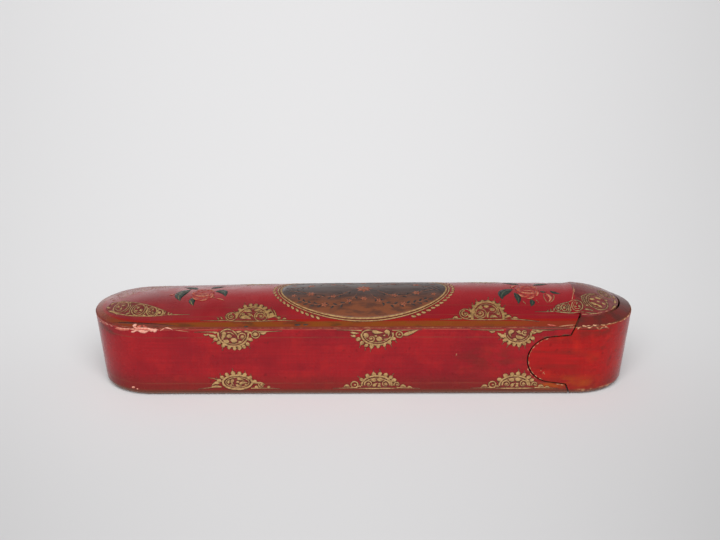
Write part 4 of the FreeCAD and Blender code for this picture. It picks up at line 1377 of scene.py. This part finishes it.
paintStrokes(
    "break_mend", [stroke(breakLine, 3.7, evenWidth, 48)], ["sleeve_tongue"], "break",
    nodeFinishes["outer_sleeve"], "sleeve", 0.0, 0.02,
)
bpy.ops.object.shade_smooth_by_angle(angle=math.radians(40))
gild("gold_crescent_tips", tipCrescent(), ["outer_sleeve", "sleeve_tongue"], "break", "wornGold")
paintStrokes(
    "worn_crescent_tips", backHalf(tipCrescent()), ["outer_sleeve", "sleeve_tongue"], "break",
    paints["fadedGold"],
    "sleeve", 0.03, 0.05,
)
earNose = (76.05, 16.3)  # middle of the ear's round nose, along and up
draw = random.Random(11)
wear = (
    ("chip_grime", "outer_sleeve", "front", "grime", [
        leaf((-103.0, 30.6), (-92.0, 31.9), (-74.0, 31.5), 1.3),
        leaf((63.0, 30.7), (76.0, 30.2), (84.2, 30.5), 1.1),
    ]),
    ("chip_red", "outer_sleeve", "front", "rawRed", [
        leaf((-100.0, 29.2), (-96.0, 29.3), (-92.0, 30.4), 1.2),
        leaf((-90.8, 31.1), (-88.2, 31.7), (-86.0, 31.1), 0.7),
        leaf((73.0, 31.7), (74.6, 31.6), (76.4, 31.4), 0.4),
        leaf((-92.6, 30.0), (-88.0, 30.2), (-83.0, 29.9), 1.9),
    ]),
    ("chip_pale", "outer_sleeve", "front", "gesso", [
        *pieces(bow((-107.6, 28.8), (-104.2, 30.1), (-100.2, 29.7)), 0.4, 4, draw),
        *pieces(bow((-106.6, 29.7), (-103.6, 30.4), (-100.8, 30.2)), 0.25, 3, draw),
        thread((-99.4, 29.8), (-96.0, 29.8), (-92.6, 30.5), 0.4),
        leaf((-93.4, 30.1), (-88.0, 30.9), (-81.7, 30.3), 1.4),
        leaf((-92.9, 28.9), (-91.8, 29.1), (-90.2, 30.2), 0.9), dot(-92.3, 29.1, 0.8, 20),
        dot(-88.3, 29.5, 1.6, 0, 1.4),
        leaf((-90.2, 30.0), (-87.6, 28.6), (-85.6, 30.0), 1.3), dot(-83.2, 30.0, 1.5, 60, 1.2),
        dot(-84.6, 29.9, 1.0),
        bead((-91.4, 31.5), 1.7, 0.7, 10), leaf((-91.9, 31.2), (-91.0, 30.8), (-89.6, 30.6), 0.7),
        leaf((-81.2, 29.9), (-80.2, 30.5), (-79.2, 31.0), 0.45),
        leaf((-79.5, 30.9), (-78.0, 31.3), (-76.0, 30.2), 0.45),
        dot(-93.6, 3.4, 0.9, 20, 1.6), dot(-91.9, 2.9, 0.6),
    ]),
    ("arris_rub_sleeve", "outer_sleeve", "front", "tan", [
        thread((77.6, 31.2), (81.0, 31.5), (84.0, 31.6), 0.26), dot(37.0, 18.8, 0.35, 80, 3.0),
        thread((-75.4, 30.1), (-72.5, 29.9), (-69.6, 29.3), 0.2),
    ]),
    ("band_spots", "outer_sleeve", "front", "slate", [
        bead((-47.0, 31.35), 1.7, 0.4, 0), bead((-26.6, 31.75), 2.6, 0.45, 0),
        bead((-23.3, 31.8), 2.2, 0.35, 0),
    ]),
    ("seam_rub_sleeve", "outer_sleeve", "front", "tan", [
        *pieces(bow((69.9, 8.1), (74.0, 5.8), (81.2, 4.5)), 0.6, 7, draw),
        *pieces(turn(earNose, (10.95, 10.95), 200, 236), 0.3, 3, draw),
    ]),
    ("seam_grime_sleeve", "outer_sleeve", "front", "grime", [
        *pieces(bow((71.0, 26.3), (76.0, 27.2), (82.2, 27.8)), 0.8, 3, draw),
    ]),
    ("seam_rub_ear", "drawer_end", "front", "tan", [
        *pieces(turn(earNose, (9.95, 9.95), 104, 176), 0.34, 6, draw),
        *pieces(turn(earNose, (9.95, 9.95), 182, 250), 0.28, 5, draw),
        dot(72.4, 10.4, 0.35, 60, 3.0), dot(71.3, 11.3, 0.35), dot(72.8, 9.8, 0.3),
    ]),
    ("arris_grime_end", "drawer_end", "front", "grime", [
        leaf((85.2, 30.2), (91.0, 31.2), (98.0, 29.2), 1.5),
    ]),
    ("arris_rub_end", "drawer_end", "front", "tan", [
        comma((84.9, 30.0), (85.2, 30.9), (86.7, 31.1), 0.5),
        comma((86.8, 31.3), (88.0, 31.4), (88.9, 30.8), 0.45),
        comma((88.9, 30.8), (90.0, 30.2), (91.2, 31.4), 0.45),
        comma((91.2, 31.4), (92.0, 31.3), (92.7, 30.8), 0.45),
        comma((92.7, 30.7), (93.4, 29.6), (94.1, 29.3), 0.6),
        comma((94.0, 29.3), (94.8, 30.5), (95.8, 30.1), 0.5),
        comma((95.9, 30.2), (97.0, 30.2), (97.9, 29.1), 0.55),
        *pieces(bow((88.0, 31.3), (97.0, 31.4), (104.6, 30.4)), 0.3, 6, draw),
        *pieces(bow((104.6, 30.5), (107.6, 30.6), (108.6, 31.0)), 0.45, 3, draw),
    ]),
    ("break_chips", "sleeve_tongue", "break", "tan", [
        thread((86.2, 2.0), (85.8, -4.0), (84.0, -10.6), 0.3),
        thread((86.5, -0.6), (86.1, -2.6), (85.8, -4.6), 0.25),
    ]),
    ("tongue_rub", "sleeve_tongue", "top", "tan", pieces(tongueEdge, 0.35, 7, draw)),
)
for label, target, layName, finish, marks in wear:
    body = "drawer" if target == "drawer_end" else "sleeve"
    lift = 0.06 if finish in ("tan", "gesso") else 0.02
    paintStrokes("wear_" + label, marks, [target], layName, paints[finish], body, lift, 0.02)
print("wear along the edges")


# floor, light and camera

stage = {
    "floorSize": 6.0,
    "floorMiddle": (0.755, 0.75, 0.757, 1.0),
    "backdrop": 0.85,         # brightness of the pale walls round the table
    "backWall": 1.35,         # and of the wall behind it, on the left
    "ceiling": 0.2,
    "wallTop": 30.0,          # degrees over the horizon where the walls end
    "lampHeight": 42.0,       # degrees over the horizon, behind the viewer
    "lampAngle": 50.0,        # how wide the soft lamp looks from the box
    "lampPower": 3.35,
}


def makeFloor():
    bpy.ops.object.select_all(action="DESELECT")
    bpy.ops.mesh.primitive_plane_add(size=stage["floorSize"], location=(0, 0, 0))
    floor = bpy.context.object
    floor.name = "floor"
    material, tree, shader, place = startMaterial("paleFloor")
    parts = addNode(tree, "ShaderNodeSeparateXYZ")
    feed(tree, parts.inputs[0], place)
    # painted light and shade on the floor: paler in the middle like a pool of light, falling off to both
    # sides, with a painted shadow just in front of the box
    reach = calc(tree, "MAXIMUM", calc(tree, "ADD", parts.outputs[1], 0.7), 0.3)
    wide = calc(tree, "DIVIDE", parts.outputs[0], reach)
    wide = calc(tree, "ADD", wide, 0.03)
    side = calc(tree, "MINIMUM", calc(tree, "MULTIPLY", calc(tree, "MULTIPLY", wide, wide), 2.9), 0.2)
    side = calc(tree, "MULTIPLY", side, fade(tree, parts.outputs[1], -0.5, -0.15))
    near = fade(tree, parts.outputs[1], -0.16, 0.08, 0.13, 0.0)
    level = calc(tree, "SUBTRACT", calc(tree, "SUBTRACT", 1.0, side), near)
    colour = addNode(tree, "ShaderNodeVectorMath", operation="SCALE")
    feed(tree, colour.inputs[0], stage["floorMiddle"][:3])
    feed(tree, colour.inputs["Scale"], level)
    feed(tree, shader.inputs["Base Color"], colour.outputs[0])
    shader.inputs["Roughness"].default_value = 0.8
    shader.inputs["Specular IOR Level"].default_value = 0.1
    floor.data.materials.append(material)


def makeLight():
    world = bpy.data.worlds.new("studio")
    bpy.context.scene.world = world
    world.use_nodes = True
    tree = world.node_tree
    light = tree.nodes["Background"]
    parts = addNode(tree, "ShaderNodeSeparateXYZ")
    feed(tree, parts.inputs[0], addNode(tree, "ShaderNodeTexCoord").outputs["Generated"])
    wallTop = math.sin(math.radians(stage["wallTop"]))
    leftward = fade(tree, parts.outputs[0], -0.2, 0.15, stage["backWall"], 0.7 * stage["backdrop"])
    wall = fade(tree, parts.outputs[1], 0.2, 0.8, stage["backdrop"], leftward)
    # the wall behind the box is lower than the ones in front
    edge = fade(tree, parts.outputs[1], 0.2, 0.8, wallTop, 0.82 * wallTop)
    low, high = calc(tree, "MULTIPLY", edge, 0.5), calc(tree, "MULTIPLY", edge, 1.5)
    glow = fade(tree, parts.outputs[2], low, high, wall, stage["ceiling"])
    feed(tree, light.inputs["Strength"], glow)
    light.inputs["Color"].default_value = (1, 1, 1, 1)
    shown = addNode(tree, "ShaderNodeBackground")
    shown.inputs["Color"].default_value = (1, 1, 1, 1)
    shown.inputs["Strength"].default_value = stage["backdrop"]
    path = addNode(tree, "ShaderNodeLightPath")
    mixed = addNode(tree, "ShaderNodeMixShader")
    feed(tree, mixed.inputs[0], path.outputs["Is Camera Ray"])
    feed(tree, mixed.inputs[1], light.outputs[0])
    feed(tree, mixed.inputs[2], shown.outputs[0])
    feed(tree, tree.nodes["World Output"].inputs["Surface"], mixed.outputs[0])
    bpy.ops.object.light_add(type="SUN", location=(0, -1, 1))
    lamp = bpy.context.object
    lamp.name = "softLamp"
    lamp.data.energy = stage["lampPower"]
    lamp.data.angle = math.radians(stage["lampAngle"])
    lamp.rotation_euler = (math.radians(90 - stage["lampHeight"]), 0, 0)


view = {
    "distance": 0.67,
    "elevation": 22.26,            # degrees
    "azimuth": 0.5,                # degrees that the viewer stands to the left
    "aimHeight": 17 * mm,
    "lens": 80.75,
    "sensor": 36.0,
    "frameSize": (720, 540),       # pixels
    "aimPixel": (364.0, 337.5),    # where the middle of the box lies in the frame
}


def makeCamera():
    elevation = math.radians(view["elevation"])
    azimuth = math.radians(view["azimuth"])
    focal = view["lens"] / view["sensor"] * view["frameSize"][0]
    raised = math.atan((view["aimPixel"][1] - view["frameSize"][1] / 2) / focal)
    turned = math.atan((view["aimPixel"][0] - view["frameSize"][0] / 2) / focal)
    level = view["distance"] * math.cos(elevation)
    height = view["aimHeight"] + view["distance"] * math.sin(elevation)
    bpy.ops.object.camera_add(
        location=(-level * math.sin(azimuth), -level * math.cos(azimuth), height),
        rotation=(math.pi / 2 - elevation + raised, 0, turned - azimuth),
    )
    camera = bpy.context.object
    camera.data.lens = view["lens"]
    camera.data.sensor_width = view["sensor"]
    camera.data.clip_start = 0.01
    bpy.context.scene.camera = camera


makeFloor()
makeLight()
makeCamera()
bpy.context.scene.view_settings.view_transform = "Standard"
print("stage, light and camera")
